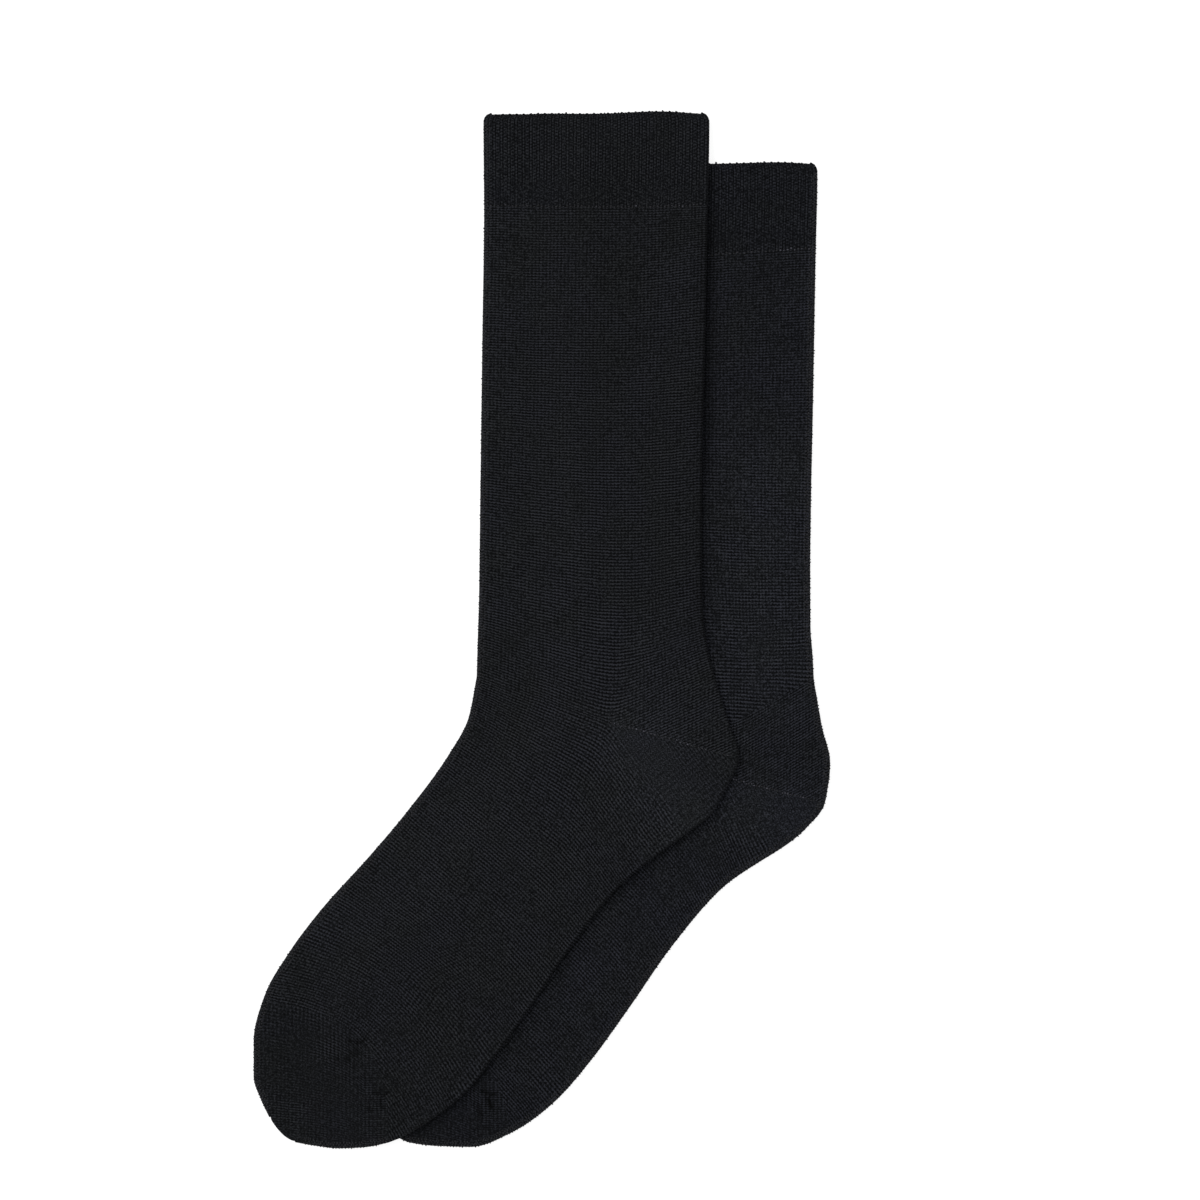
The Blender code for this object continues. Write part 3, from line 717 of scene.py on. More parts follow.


# %% [markdown]
# ## Lighter and darker places
#
# Near-black yarn is never one black, and light and shade are painted into it as well. Along the folds the
# loops stand open and the fuzz catches the light, which is painted there as lighter yarn, a painted
# highlight. The toes look deeper, and the back sock's shaded parts are painted darker: painted shade, with a
# painted shadow beside the front sock's edge, where that edge is painted darker too. Soft lines with a width
# and an amount, like the creases, give each point of the mesh a tone: a share to make the yarn lighter or
# darker by.

# %% Table of tones and painted light
TONES_AND_PAINTED_LIGHT = {
    "front": (
        # painted highlight along the instep's fold of the leg and the foot
        ((-22, 160), (-25, 0), 2.6, 0.12),
        ((-26, -24), (-108, -146), 3.0, 0.10),
        # painted shade along the front sock's right edge, where it faces the back sock
        ((65, 160), (64, 0), 3.5, -0.24),
        ((22, 206), (22, 172), 30.0, -0.08),
        ((22, 150), (22, 90), 40.0, -0.05),
        ((20, 60), (24, -40), 34.0, 0.04),
        ((38, -46), (58, -78), 15.0, 0.52),
        ((44, -12), (60, -32), 14.0, 0.10),
        ((-20, -90), (10, -80), 30.0, 0.07),
        ((-96, -170), (-76, -198), 24.0, -0.17),
        ((-28, 190), (-20, 190), 9.0, 0.10),
    ),
    "back": (
        # painted highlight along the back sock's outer fold
        ((109, 148), (108, -16), 3.5, 0.20),
        ((90, 60), (90, -20), 20.0, 0.32),
        # painted shadow of the front sock's edge on the back sock
        ((67, 164), (65.5, 66), 3.4, -0.34),
        ((90, 186), (90, 150), 24.0, -0.10),
        ((78, -70), (102, -76), 14.0, 0.48),
        # painted light beside the front sock's edge lower down, where the shade there is lighter
        ((64, 10), (67, -14), 3.0, 0.22),
        ((67, -14), (80, -48), 3.0, 0.42),
        ((60, -96), (10, -150), 14.0, 0.08),
        ((-40, -196), (-16, -196), 15.0, -0.16),
        # painted shade in a pucker of the back toe
        ((-21.6, -187), (-19.6, -192.6), 2.4, -0.20),
    ),
}
# painted shade in the toe's puckers, added to the tone by their depth
PUCKER_SHADE = 2.3  # how much a pucker darkens for each millimetre of depth
print("tones:", rows_in(TONES_AND_PAINTED_LIGHT))

# %% [markdown]
# In some places the stitches hardly show: in the last rows of the cuff, where the heel is knitted double,
# and here and there on the toe. Round the toe's puckers they show more. A second table gives each point a
# share to take from the pattern or to add to it.

# %% Table of smooth and of rough places
EVENNESS = {
    "front": (
        ((-22, 174), (66, 174), 4.6, -0.60),
        ((40, -50), (60, -84), 15.0, -0.62),
        ((-100, -166), (-82, -190), 11.0, -0.55),
        ((-84, -152), (-80, -160), 7.0, -0.35),
        ((-62, -168), (-46, -196), 12.0, -0.45),
        ((-100, -136), (-72, -150), 9.0, -0.30),
        ((-86, -168), (-74, -168), 5.0, 0.90),
        ((-68, -186), (-62, -189), 4.0, 0.60),
        ((-96, -152), (-84, -160), 6.0, 0.40),
    ),
    "back": (
        ((20, 153), (108, 158), 3.6, -0.50),
        ((74, -72), (102, -78), 13.0, -0.70),
        ((84, -6), (90, -28), 8.0, -0.50),
        ((58, -92), (40, -116), 14.0, -0.30),
        ((-60, -186), (-30, -196), 9.0, -0.40),
        ((88, 150), (88, 70), 30.0, -0.16),
        ((60, -104), (20, -150), 22.0, -0.20),
        ((-28, -186), (-20, -192), 5.0, 0.80),
    ),
}
LEAST_SHOWN = 0.10
MOST_SHOWN = 1.80
print("smooth and rough places:", rows_in(EVENNESS))

# %% [markdown]
# Where the knit is pulled longer, the courses stand apart and show plainly. Where it is slack, as below the
# cuff and over the ball of the foot, they show less, and the wales nearly as much.

# %% Table of slack places
SLACK = {
    "front": (
        ((0, 160), (44, 160), 42.0, -0.30),
        ((-84, -140), (-34, -160), 24.0, -0.20),
    ),
    "back": (
        ((90, 140), (90, 20), 40.0, -0.24),
        ((-30, -150), (0, -160), 30.0, -0.20),
    ),
}
# the back sock's colour is painted bluer, for the bluer light it lies in
BLUER = {"front": 0.0, "back": 0.06}  # the back sock lies in bluer light

# %% [markdown]
# ## From grids to meshes
#
# Each piece is a closed shell: an outer face, an inner face, and walls that join them along their edges.
# The outer face's quads are wound so that they look out, the inner face's the other way round.


# %% A shell gathered from grids
def next_column(grid):
    """The grid one column on, the last column followed by the first."""
    return np.roll(grid, -1, axis=1)


def next_stitch(grid):
    """The stitch numbers one column on; past the last column the wale number goes on by a whole round."""
    moved = np.roll(grid, -1, axis=1)
    gap = grid[:, -1, 0] - moved[:, -1, 0]
    moved[:, -1, 0] += WALES_ROUND * np.round(gap / WALES_ROUND)
    return moved


class Shell:
    """Points, faces and stitch numbers of one piece, gathered grid by grid."""

    def __init__(self, sock):
        self.sock = sock
        self.points = []
        self.quads = []
        self.stitches = []
        self.sharp = []
        self.count = 0

    def add_points(self, grid):
        """Takes a grid's points and gives back their numbers, as a grid."""
        numbers = self.count + np.arange(grid.shape[0] * grid.shape[1]).reshape(grid.shape[:2])
        self.points.append(grid.reshape(-1, 3))
        self.count += numbers.size
        return numbers

    def add_face(self, numbers, after, before, cells=None, inside=False):
        """Quads over the chosen cells. after holds the stitch numbers for the cells below each row, before
        those for the cells above it."""
        corners = [numbers[:-1], numbers[1:], next_column(numbers[1:]), next_column(numbers[:-1])]
        stitches = [after[:-1], before[1:], next_stitch(before[1:]), next_stitch(after[:-1])]
        chosen = np.ones(corners[0].shape, bool) if cells is None else cells
        quads = np.stack(corners, axis=-1)[chosen]
        places = np.stack(stitches, axis=-2)[chosen]
        self.quads.append(quads[:, ::-1] if inside else quads)
        self.stitches.append(places[:, ::-1] if inside else places)
        self.sharp.append(np.zeros(len(quads), bool))

    def add_wall(self, outer_path, inner_path, stitches):
        """Quads from a path on the outer face to the same path on the inner face. They are shaded flat, so
        that the outer face's shading is not bent where two pieces meet."""
        corners = [outer_path[:-1], outer_path[1:], inner_path[1:], inner_path[:-1]]
        self.quads.append(np.stack(corners, axis=-1))
        self.stitches.append(np.stack([stitches[:-1], stitches[1:], stitches[1:], stitches[:-1]], axis=1))
        self.sharp.append(np.ones(len(outer_path) - 1, bool))

    def add_ring(self, row, *grids):
        """A wall once round the tube: along the first row of both faces, or back along the last."""
        paths = [np.concatenate([grid[row], grid[row][:1]]) for grid in grids]
        self.add_wall(*(path[::-1] if row == -1 else path for path in paths))


# %% [markdown]
# A mesh takes its points, faces, stitch numbers and shares as whole arrays. Points that no face uses are
# dropped first, and the places leave millimetres for metres here.


# %% Objects, points and shares
def add_object(name, data):
    """A new object in the scene."""
    thing = bpy.data.objects.new(name, data)
    bpy.context.scene.collection.objects.link(thing)
    return thing


def used_points(points, faces):
    """Which points the faces use, the faces by the new numbers, and those points' places in metres."""
    used, numbers = np.unique(faces, return_inverse=True)
    return used, numbers.reshape(faces.shape), (points[used] + np.append(TO_FRAME, 0)) * MM


def add_share(mesh, title, values):
    """One number for each point of a mesh, under a name that its material reads."""
    attribute = mesh.attributes.new(title, "FLOAT", "POINT")
    attribute.data.foreach_set("value", values.astype(np.float32))


# %% Make a mesh from arrays
def add_mesh(name, points, shares, quads, stitches, sharp):
    """Quads from whole arrays. The edges of the sharp ones part the shading on their two sides."""
    used, quads, places = used_points(points, quads)
    mesh = bpy.data.meshes.new(name)
    mesh.vertices.add(len(used))
    mesh.vertices.foreach_set("co", places.astype(np.float32).ravel())
    mesh.loops.add(quads.size)
    mesh.loops.foreach_set("vertex_index", quads.astype(np.int32).ravel())
    mesh.polygons.add(len(quads))
    mesh.polygons.foreach_set("loop_start", np.arange(0, quads.size, 4, dtype=np.int32))
    mesh.update(calc_edges=True)
    layer = mesh.uv_layers.new(name="stitches")
    layer.uv.foreach_set("vector", stitches.astype(np.float32).ravel())
    for title, values in shares.items():
        add_share(mesh, title, values[used])
    mesh.polygons.foreach_set("use_smooth", ~sharp)
    edges = np.empty(quads.size, np.int32)
    mesh.loops.foreach_get("edge_index", edges)
    sharp_edges = np.zeros(len(mesh.edges), bool)
    sharp_edges[edges.reshape(-1, 4)[sharp]] = True
    mesh.edges.foreach_set("use_edge_sharp", sharp_edges)
    print(f"{name}: {2 * len(quads)} triangles")
    return add_object(name, mesh)


# %% Make a mesh from a shell
def finish_shell(name, shell):
    """The shell as a mesh with four shares at each point."""
    points = np.concatenate(shell.points)
    tone, puckers, shown, slack = (
        along_lines(points[:, :2], table[shell.sock]) for table in (TONES_AND_PAINTED_LIGHT, PUCKERS, EVENNESS, SLACK)
    )
    shares = {
        # the tone: the table's tones with their painted light and shade, plus painted shade in the puckers
        "tone": tone + PUCKER_SHADE * puckers,
        "shown": np.clip(1 + shown, LEAST_SHOWN, MOST_SHOWN),
        "slack": slack,
        "blue": np.full(len(points), BLUER[shell.sock]),
    }
    parts = (np.concatenate(part) for part in (shell.quads, shell.stitches, shell.sharp))
    return add_mesh(name, points, shares, *parts)


# %% [markdown]
# ## Cuffs
#
# A cuff is knitted in rib with an elastic thread, and its top edge is the soft start of the knitting. So
# the shell's outer face starts inside the tube, goes over a rounded lip and runs down. The lip follows the
# ribs, a little higher on each, and the whole edge is not quite straight: it has low humps and dips.

# %% Edge of the cuffs
CUFF_ROW = 0.43  # three rows of points to each row of stitches
LIP = WALL / 2
LIP_STEPS = 5
EDGE_SCALLOPS = (0.12, 0.12)  # on each rib, and on each wale
EDGE_REACH = 8.0
SCALLOP_FADE = 10  # power of the place across
CUFF_INSIDE_ROWS = 9
EDGE_HUMPS = {  # place across the side, width and height
    "front": ((0.0, 9.0, 0.05), (-0.68, 0.12, -0.2), (-0.02, 0.45, -0.80), (0.66, 0.35, 0.55)),
    "back": ((0.0, 9.0, 0.05), (0.05, 0.45, -0.60), (0.80, 0.35, 0.65)),
}


def edge_shift(sock, wanted):
    """How far the cuff's edge moves up: bell-shaped humps across the side and scallops on the ribs and the
    wales, fading down the cuff."""
    humps = sum(
        height * np.exp(-(((ACROSS - place) / width) ** 2)) for place, width, height in EDGE_HUMPS[sock]
    )
    on_rib, on_wale = EDGE_SCALLOPS
    scallops = on_wale * np.cos(2 * math.pi * WALE) - on_rib * np.cos(math.pi * WALE)
    scallops *= 1 - ACROSS**SCALLOP_FADE
    return smooth_step(1 - wanted / EDGE_REACH)[:, None] * (humps + scallops)


# %% Make the cuffs
def make_cuff(sock):
    """A half circle over the lip, then rows down to the cuff's end, and a plain inner face."""
    plan = PLANS[sock]
    end = plan.station("cuff_end")
    down = plan.rows("cuff_top", "cuff_end", CUFF_ROW)
    down[0] = LIP
    over = np.linspace(math.pi, 0, LIP_STEPS + 1)[:-1]
    wanted = np.concatenate([np.full(LIP_STEPS, LIP), down])
    radius = np.full(len(wanted), FOLD_RADIUS)
    radius[:LIP_STEPS] = INNER_RADIUS + LIP + LIP * np.cos(over)
    relief = rib_relief(wanted, end)
    relief[:LIP_STEPS] *= (0.5 + 0.5 * np.cos(over))[:, None]
    grid = crease(sock, tube(sock, wanted, radius, relief))
    grid[:LIP_STEPS, :, 1] += LIP * np.sin(over)[:, None] * np.abs(np.cos(TURN))
    grid[..., 1] += edge_shift(sock, wanted)
    inside = np.linspace(LIP, end, CUFF_INSIDE_ROWS)
    inner_grid = tube(sock, inside, INNER_RADIUS)
    inner_grid[..., 1] += edge_shift(sock, inside)
    shell = Shell(sock)
    outer = shell.add_points(grid)
    inner = shell.add_points(inner_grid)
    inner[0] = outer[0]
    counted = by_rows(wanted / CUFF_COURSE)
    shell.add_face(outer, counted, counted)
    counted = by_rows(inside / CUFF_COURSE)
    shell.add_face(inner, counted, counted, inside=True)
    shell.add_ring(-1, outer, inner, counted)
    return finish_shell(f"{sock}_cuff_rib", shell)


cuffs = {sock: make_cuff(sock) for sock in PLANS}

# %% [markdown]
# ## Leg and foot
#
# The plain tube runs from the cuff to the toe. At the back it has a window for the heel: between the last
# full row of the leg and the first full row of the foot only the instep's part is there.

# %% The heel's window
LEG_ROW = 4.0
INSIDE_ROW = 9.0
WINDOW = np.arange(KNEE, 2 * LAYER_STEPS + FOLD_STEPS - KNEE + 1)  # columns from end to end of the window
OUTSIDE_HEEL = ~np.isin(np.arange(COLUMNS), WINDOW[:-1])


def leg_rows(plan, spacing):
    """Stations above and below the heel's window."""
    above = plan.rows("cuff_end", "heel_start", spacing)
    below = plan.rows("heel_end", "toe_start", spacing)
    return np.concatenate([above, below]), len(above)


# %% Make the legs and feet
def tube_face(shell, wanted, window, grid, inside):
    """Points and quads of one face of the tube, the heel's window left open."""
    numbers = shell.add_points(grid)
    counted = tube_stitches(shell.sock, wanted, grid[..., :2])
    cells = np.ones((len(wanted) - 1, COLUMNS), bool)
    cells[window - 1] = OUTSIDE_HEEL
    shell.add_face(numbers, counted, counted, cells, inside)
    return numbers, counted


def make_leg_and_foot(sock):
    """Outer and inner face, with walls at both ends of the tube and round the window."""
    plan = PLANS[sock]
    shell = Shell(sock)
    wanted, window = leg_rows(plan, LEG_ROW)
    grid = crease(sock, tube(sock, wanted, FOLD_RADIUS, plain_relief(plan, wanted)))
    outer, counted = tube_face(shell, wanted, window, grid, False)
    inside, gap = leg_rows(plan, INSIDE_ROW)
    inner, _ = tube_face(shell, inside, gap, tube(sock, inside, INNER_RADIUS), True)
    shell.add_ring(0, outer, inner, counted)
    shell.add_ring(-1, outer, inner, counted)
    down = np.array([-1, 0])  # the window's last row above and first row below
    edges = ((-1, WINDOW[::-1]), (0, WINDOW), (down, WINDOW[0]), (down[::-1], WINDOW[-1]))
    for row, column in edges:
        shell.add_wall(outer[window + row, column], inner[gap + row, column], counted[window + row, column])
    return finish_shell(f"{sock}_leg_and_foot_knit", shell)


legs = {sock: make_leg_and_foot(sock) for sock in PLANS}

# %% [markdown]
# ## Heels
#
# The heel pocket's rows fan out round its inner end, from the leg's last row to the foot's first. Its
# stitches do not fan: they are the leg's down to the gore line, and the foot's after it. So the row on the
# gore line carries two counts.

# %% Stitch numbers of the heels
HEEL_ROW = 0.5
GORE_WIDTH = 1.0
NEAR = 1e-3  # two rows nearer than this are one


def heel_stitches(plan, wanted):
    """Stitch numbers for the cells below and above each row, and the relief that follows them. On the gore
    line there is no relief, so a fine groove runs along it."""
    flat = row_points(plan, wanted)[0]
    of_leg = carry_on(plan, "heel_start", LEG_WAY, HEEL_COURSE, flat)
    of_foot = carry_on(plan, "heel_end", FOOT_WAY, HEEL_COURSE, flat)
    gore = plan.station("heel_gore")
    after = np.where((wanted < gore - NEAR)[:, None, None], of_leg, of_foot)
    before = np.where((wanted < gore + NEAR)[:, None, None], of_leg, of_foot)
    from_gore = np.minimum(np.abs(wanted - gore) / GORE_WIDTH, 1)[:, None]
    relief = from_gore * ridges(after[..., 0]) - (1 - from_gore) * WALE_DEPTH
    ends = (wanted == wanted[0]) | (wanted == wanted[-1])
    return after, before, np.where(ends[:, None], ridges(WALE), relief)


# %% Make the heels
def heel_face(shell, spacing, radius, inside):
    """Points and quads of one face of the pocket, over the window's columns."""
    sock = shell.sock
    plan = PLANS[sock]
    wanted = plan.rows("heel_start", "heel_end", spacing)
    after, before, relief = heel_stitches(plan, wanted)
    grid = tube(sock, wanted, radius) if inside else crease(sock, tube(sock, wanted, radius, relief))
    numbers = shell.add_points(grid)
    cells = np.repeat(~OUTSIDE_HEEL[None], len(wanted) - 1, axis=0)
    shell.add_face(numbers, after, before, cells, inside)
    return numbers, after


def make_heel(sock):
    """Outer and inner face, with walls along the first and last row and at both ends of the fan."""
    shell = Shell(sock)
    outer, counted = heel_face(shell, HEEL_ROW, FOLD_RADIUS, False)
    inner, _ = heel_face(shell, HEEL_ROW, INNER_RADIUS, True)
    edges = ((0, WINDOW), (-1, WINDOW[::-1]), (np.s_[::-1], WINDOW[0]), (np.s_[:], WINDOW[-1]))
    for edge in edges:
        shell.add_wall(outer[edge], inner[edge], counted[edge])
    heel = finish_shell(f"{sock}_heel_knit", shell)
    mark_leg_side(heel, PLANS[sock])
    return heel


def mark_leg_side(heel, plan):
    """Above the gore line the pocket's stitches are the leg's, so those faces take the second material:
    the faces whose middle lies above the straight line between the gore's ends."""
    gore = np.array([plan.station("heel_gore")])
    inner_end, outer_end = (plan.at(line, gore)[0] + TO_FRAME for line in ("knee", "sole"))
    middles = np.empty(3 * len(heel.data.polygons), np.float32)
    heel.data.polygons.foreach_get("center", middles)
    place = middles.reshape(-1, 3)[:, :2] / MM - inner_end
    along = outer_end - inner_end
    above = along[0] * place[:, 1] - along[1] * place[:, 0] > 0
    heel.data.polygons.foreach_set("material_index", above.astype(np.int32))


heels = {sock: make_heel(sock) for sock in PLANS}

# %% [markdown]
# ## Toes
#
# The toe pocket closes with a flat linked seam. Its last rows go round the end like a fold, a quarter turn
# from above and a quarter from below, and there the upper layer's points are the lower layer's as well.

# %% Round the toe's end
TOE_ROW = 1.0
TOE_INSIDE_ROW = 5.0
TIP_STEPS = 5
SQUARE = 12  # the power that keeps the tip's corners from moving out
MIRROR = (2 * LAYER_STEPS + FOLD_STEPS - np.arange(COLUMNS)) % COLUMNS
ZIPPED = np.minimum(np.arange(COLUMNS), MIRROR)


def round_tip(sock, grid, radius):
    """Rows past the last one: moved out by the radius times the sine of the angle, but not at the corners,
    with the height over the middle times its cosine."""
    plan = PLANS[sock]
    end = plan.stations[-1:]
    instep = plan.at("instep", end)[0]
    sole = plan.at("sole", end)[0]
    chord = unit(sole - instep)
    out = np.array([chord[1], -chord[0]])
    last = grid[-1]
    along = (last[:, :2] - (instep + sole) / 2) @ chord
    height = last[:, 2] - ground(sock, last[None, :, :2])[0] - FOLD_RADIUS
    angle = np.linspace(0, math.pi / 2, TIP_STEPS + 1)[1:, None]
    corner = np.abs(along) / np.abs(along).max()
    rows = np.empty((TIP_STEPS, COLUMNS, 3))
    rows[..., :2] = last[:, :2] + (radius * np.sin(angle) * (1 - corner**SQUARE))[..., None] * out
    rows[..., 2] = ground(sock, rows[..., :2]) + FOLD_RADIUS + height * np.cos(angle)
    return np.concatenate([grid, rows])


# %% Make the toes
def toe_face(shell, spacing, radius, inside):
    """Points and quads of one face of the pocket. Both layers share the points of its last row."""
    sock = shell.sock
    plan = PLANS[sock]
    wanted = plan.rows("toe_start", "toe_tip", spacing)
    grid = round_tip(sock, tube(sock, wanted, radius), radius)
    if not inside:
        grid = crease(sock, grid)
    numbers = shell.add_points(grid)
    numbers[-1] = numbers[-1, ZIPPED]
    counted = toe_stitches(plan, grid[..., :2])
    shell.add_face(numbers, counted, counted, inside=inside)
    return numbers, counted


def make_toe(sock):
    """Outer and inner face, closed at the tip, with a wall at the open end."""
    shell = Shell(sock)
    outer, counted = toe_face(shell, TOE_ROW, FOLD_RADIUS, False)
    inner, _ = toe_face(shell, TOE_INSIDE_ROW, INNER_RADIUS, True)
    shell.add_ring(0, outer, inner, counted)
    return finish_shell(f"{sock}_toe_knit", shell)


toes = {sock: make_toe(sock) for sock in PLANS}

# %% [markdown]
# ## The yarn
#
# The socks are fine cotton knit with some polyamide, dyed near black with a breath of blue. Matt fibres
# give it a soft dull face; the fuzz that stands off it catches light at a slant, which sheen draws. Its
# colours are written as sRGB hex values and turned to linear light.


# %% Colours
def linear(hex_colour):
    """Linear RGBA of an sRGB hex colour: ((c + 0.055) / 1.055) to the power 2.4, straight near black."""
    values = [int(hex_colour[i : i + 2], 16) / 255 for i in (0, 2, 4)]
    return (*[c / 12.92 if c <= 0.04045 else ((c + 0.055) / 1.055) ** 2.4 for c in values], 1)


# %% Nodes of a material
class Nodes:
    """One material's nodes. add gives the new node back, the shorter methods its output."""

    def __init__(self, name, shown_as):
        self.material = bpy.data.materials.new(name)
        self.material.use_nodes = True
        self.material.diffuse_color = linear(shown_as)
        self.tree = self.material.node_tree
        self.tree.nodes.clear()

    def add(self, kind, inputs=(), **settings):
        """Adds a node with its settings. Each input is given a value, or another node's output to read."""
        node = self.tree.nodes.new("ShaderNode" + kind)
        for key, value in settings.items():
            setattr(node, key, value)
        for key, value in dict(inputs).items():
            if isinstance(value, bpy.types.NodeSocket):
                self.tree.links.new(value, node.inputs[key])
            else:
                node.inputs[key].default_value = value
        return node

    def math(self, operation, *values):
        return self.add("Math", dict(enumerate(values)), operation=operation).outputs[0]

    def vector(self, operation, inputs):
        return self.add("VectorMath", inputs, operation=operation).outputs[0]

    def noise(self, where, scale, detail):
        return self.add("TexNoise", {"Vector": where, "Scale": scale, "Detail": detail}).outputs["Fac"]

    def share(self, name):
        return self.add("Attribute", attribute_name=name).outputs["Fac"]

    def between(self, value, low, high, least, most):
        """A value's range low to high, spread evenly over the range least to most and held at its ends."""
        inputs = {"Value": value, "From Min": low, "From Max": high, "To Min": least, "To Max": most}
        return self.add("MapRange", inputs).outputs[0]

    def cosine(self, number, turns):
        """The cosine of a number's turns."""
        return self.math("COSINE", self.math("MULTIPLY", number, 2 * math.pi * turns))

    def finish(self, inputs):
        """Gives the material its shader."""
        shader = self.add("BsdfPrincipled", inputs)
        self.add("OutputMaterial", {"Surface": shader.outputs[0]})
        return self.material


# %% [markdown]
# ## Knit as a pattern
#
# One stitch of plain knit is a V: two legs that rise from the middle of the wale. From above, at arm's
# length, a course shows as a light line with a dark gap below it, and the wales only break it up a little.
# Both are waves: cosines of the course number and of the wale number, added up. A rib's wales take turns,
# knit and purl, so there the stitches make a chequered pattern, the product of two waves, and the wales
# show as fine upright lines. The sum is 0 on average, so a stronger pattern doesn't change the colour.
# The pattern is the yarn's height: it drives the bump, and the colour is painted darker in its gaps and
# lighter on its tops, as painted shade and painted highlight.


# %% Waves of the stitch numbers
RIB_LINES = ((1, 1.0), (1.5, 1.3))  # turns to a wale, and share of the knit's own for its wales


def plain_weave(nodes, wale, course, knit):
    """Mostly the courses' wave, less where the knit is slack, and some of the wales'."""
    rows = nodes.math("ADD", nodes.share("slack"), knit.rows)
    wales = nodes.math("MULTIPLY", nodes.cosine(wale, 1), knit.wales)
    return nodes.math("MULTIPLY_ADD", nodes.cosine(course, 1), rows, wales)


def rib_weave(nodes, wale, course, knit):
    """The ribs' wave times the courses', and the wales' waves once and one and a half times a wale."""
    chequer = nodes.math("MULTIPLY", nodes.cosine(wale, 0.5), nodes.cosine(course, 1))
    total = nodes.math("MULTIPLY", chequer, knit.rows)
    for turns, share in RIB_LINES:
        total = nodes.math("MULTIPLY_ADD", nodes.cosine(wale, turns), share * knit.wales, total)
    return total


# %% [markdown]
# No two stitches are pulled equally tight, so each one has its own random share of the pattern, and one or
# two in a thousand stand out and catch the light as painted glints. Patches of a centimetre show the pattern
# more or less, and the table of smooth and rough places takes from it or adds to it. Over it lies the fuzz,
# in grains of about half a millimetre.

# %% Height of the yarn
# gap, yarn and tip are the colour ramp's stops: painted shade in the gaps between stitches, the yarn's own
# colour, and a painted highlight on the loops' tops
Knit = namedtuple("Knit", "name slot gap yarn tip ribbed rows wales chance patches fuzz grain bump")
V_RISE = 0.15  # how far a stitch rises from the middle of its wale to the groove, in courses
FLECKS = 0.9985  # stitches with a random value above this stand out
FLECK_SHARE = 2.0
PATCH_SCALE = 110.0  # noise cells to a metre
PATCH_RANGE = (0.35, 0.65)  # the range of a noise that is made use of
FUZZ_RANGE = (0.25, 0.75)


def yarn_height(nodes, knit, wale, course, where):
    """The pattern, times the shares of the stitch, the patch and the place, plus the fuzz."""
    if knit.ribbed:
        weave = rib_weave(nodes, wale, course, knit)
    else:
        half = nodes.math("PINGPONG", wale, 0.5)
        raised = nodes.math("MULTIPLY_ADD", half, 2 * V_RISE, course)
        weave = plain_weave(nodes, wale, raised, knit)

    own = {index: nodes.math("SNAP", number, 1.0) for index, number in enumerate((wale, course))}
    stitch = nodes.add("CombineXYZ", own).outputs[0]
    chance = nodes.add("TexWhiteNoise", {"Vector": stitch}, noise_dimensions="2D").outputs["Value"]
    pulled = nodes.between(chance, 0, 1, 1 - knit.chance, 1 + knit.chance)
    pulled = nodes.math("MULTIPLY_ADD", nodes.math("GREATER_THAN", chance, FLECKS), FLECK_SHARE, pulled)
    patch = nodes.noise(where, PATCH_SCALE, 1.0)
    patchy = nodes.between(patch, *PATCH_RANGE, 1 - knit.patches, 1 + knit.patches)
    for share in (pulled, patchy, nodes.share("shown")):
        weave = nodes.math("MULTIPLY", weave, share)

    fuzz = nodes.noise(where, 1 / (knit.grain * MM), 1.0)
    weave = nodes.math("ADD", weave, nodes.between(fuzz, *FUZZ_RANGE, -knit.fuzz, knit.fuzz))
    return nodes.math("MULTIPLY_ADD", weave, 0.5, 0.5)


# %% [markdown]
# The dye is never quite even either: slow clouds go a few hundredths lighter and darker, and some places
# are bluer than others.

# %% Knit material
LESS_BLUE = (0.97, 1.0, 0.96, 1)  # factors on the dye, not colours
MORE_BLUE = (0.98, 1.0, 1.06, 1)
TINT_SCALE = 55.0
TINT_RANGE = (0.35, 0.65)
CLOUD_SCALE = 75.0
CLOUD_RANGE = (0.3, 0.7)
CLOUDS = (0.94, 1.06)
WANDER_SCALE = 120.0
WANDER = 0.6  # courses that the rows wander by, so that they are not ruled lines


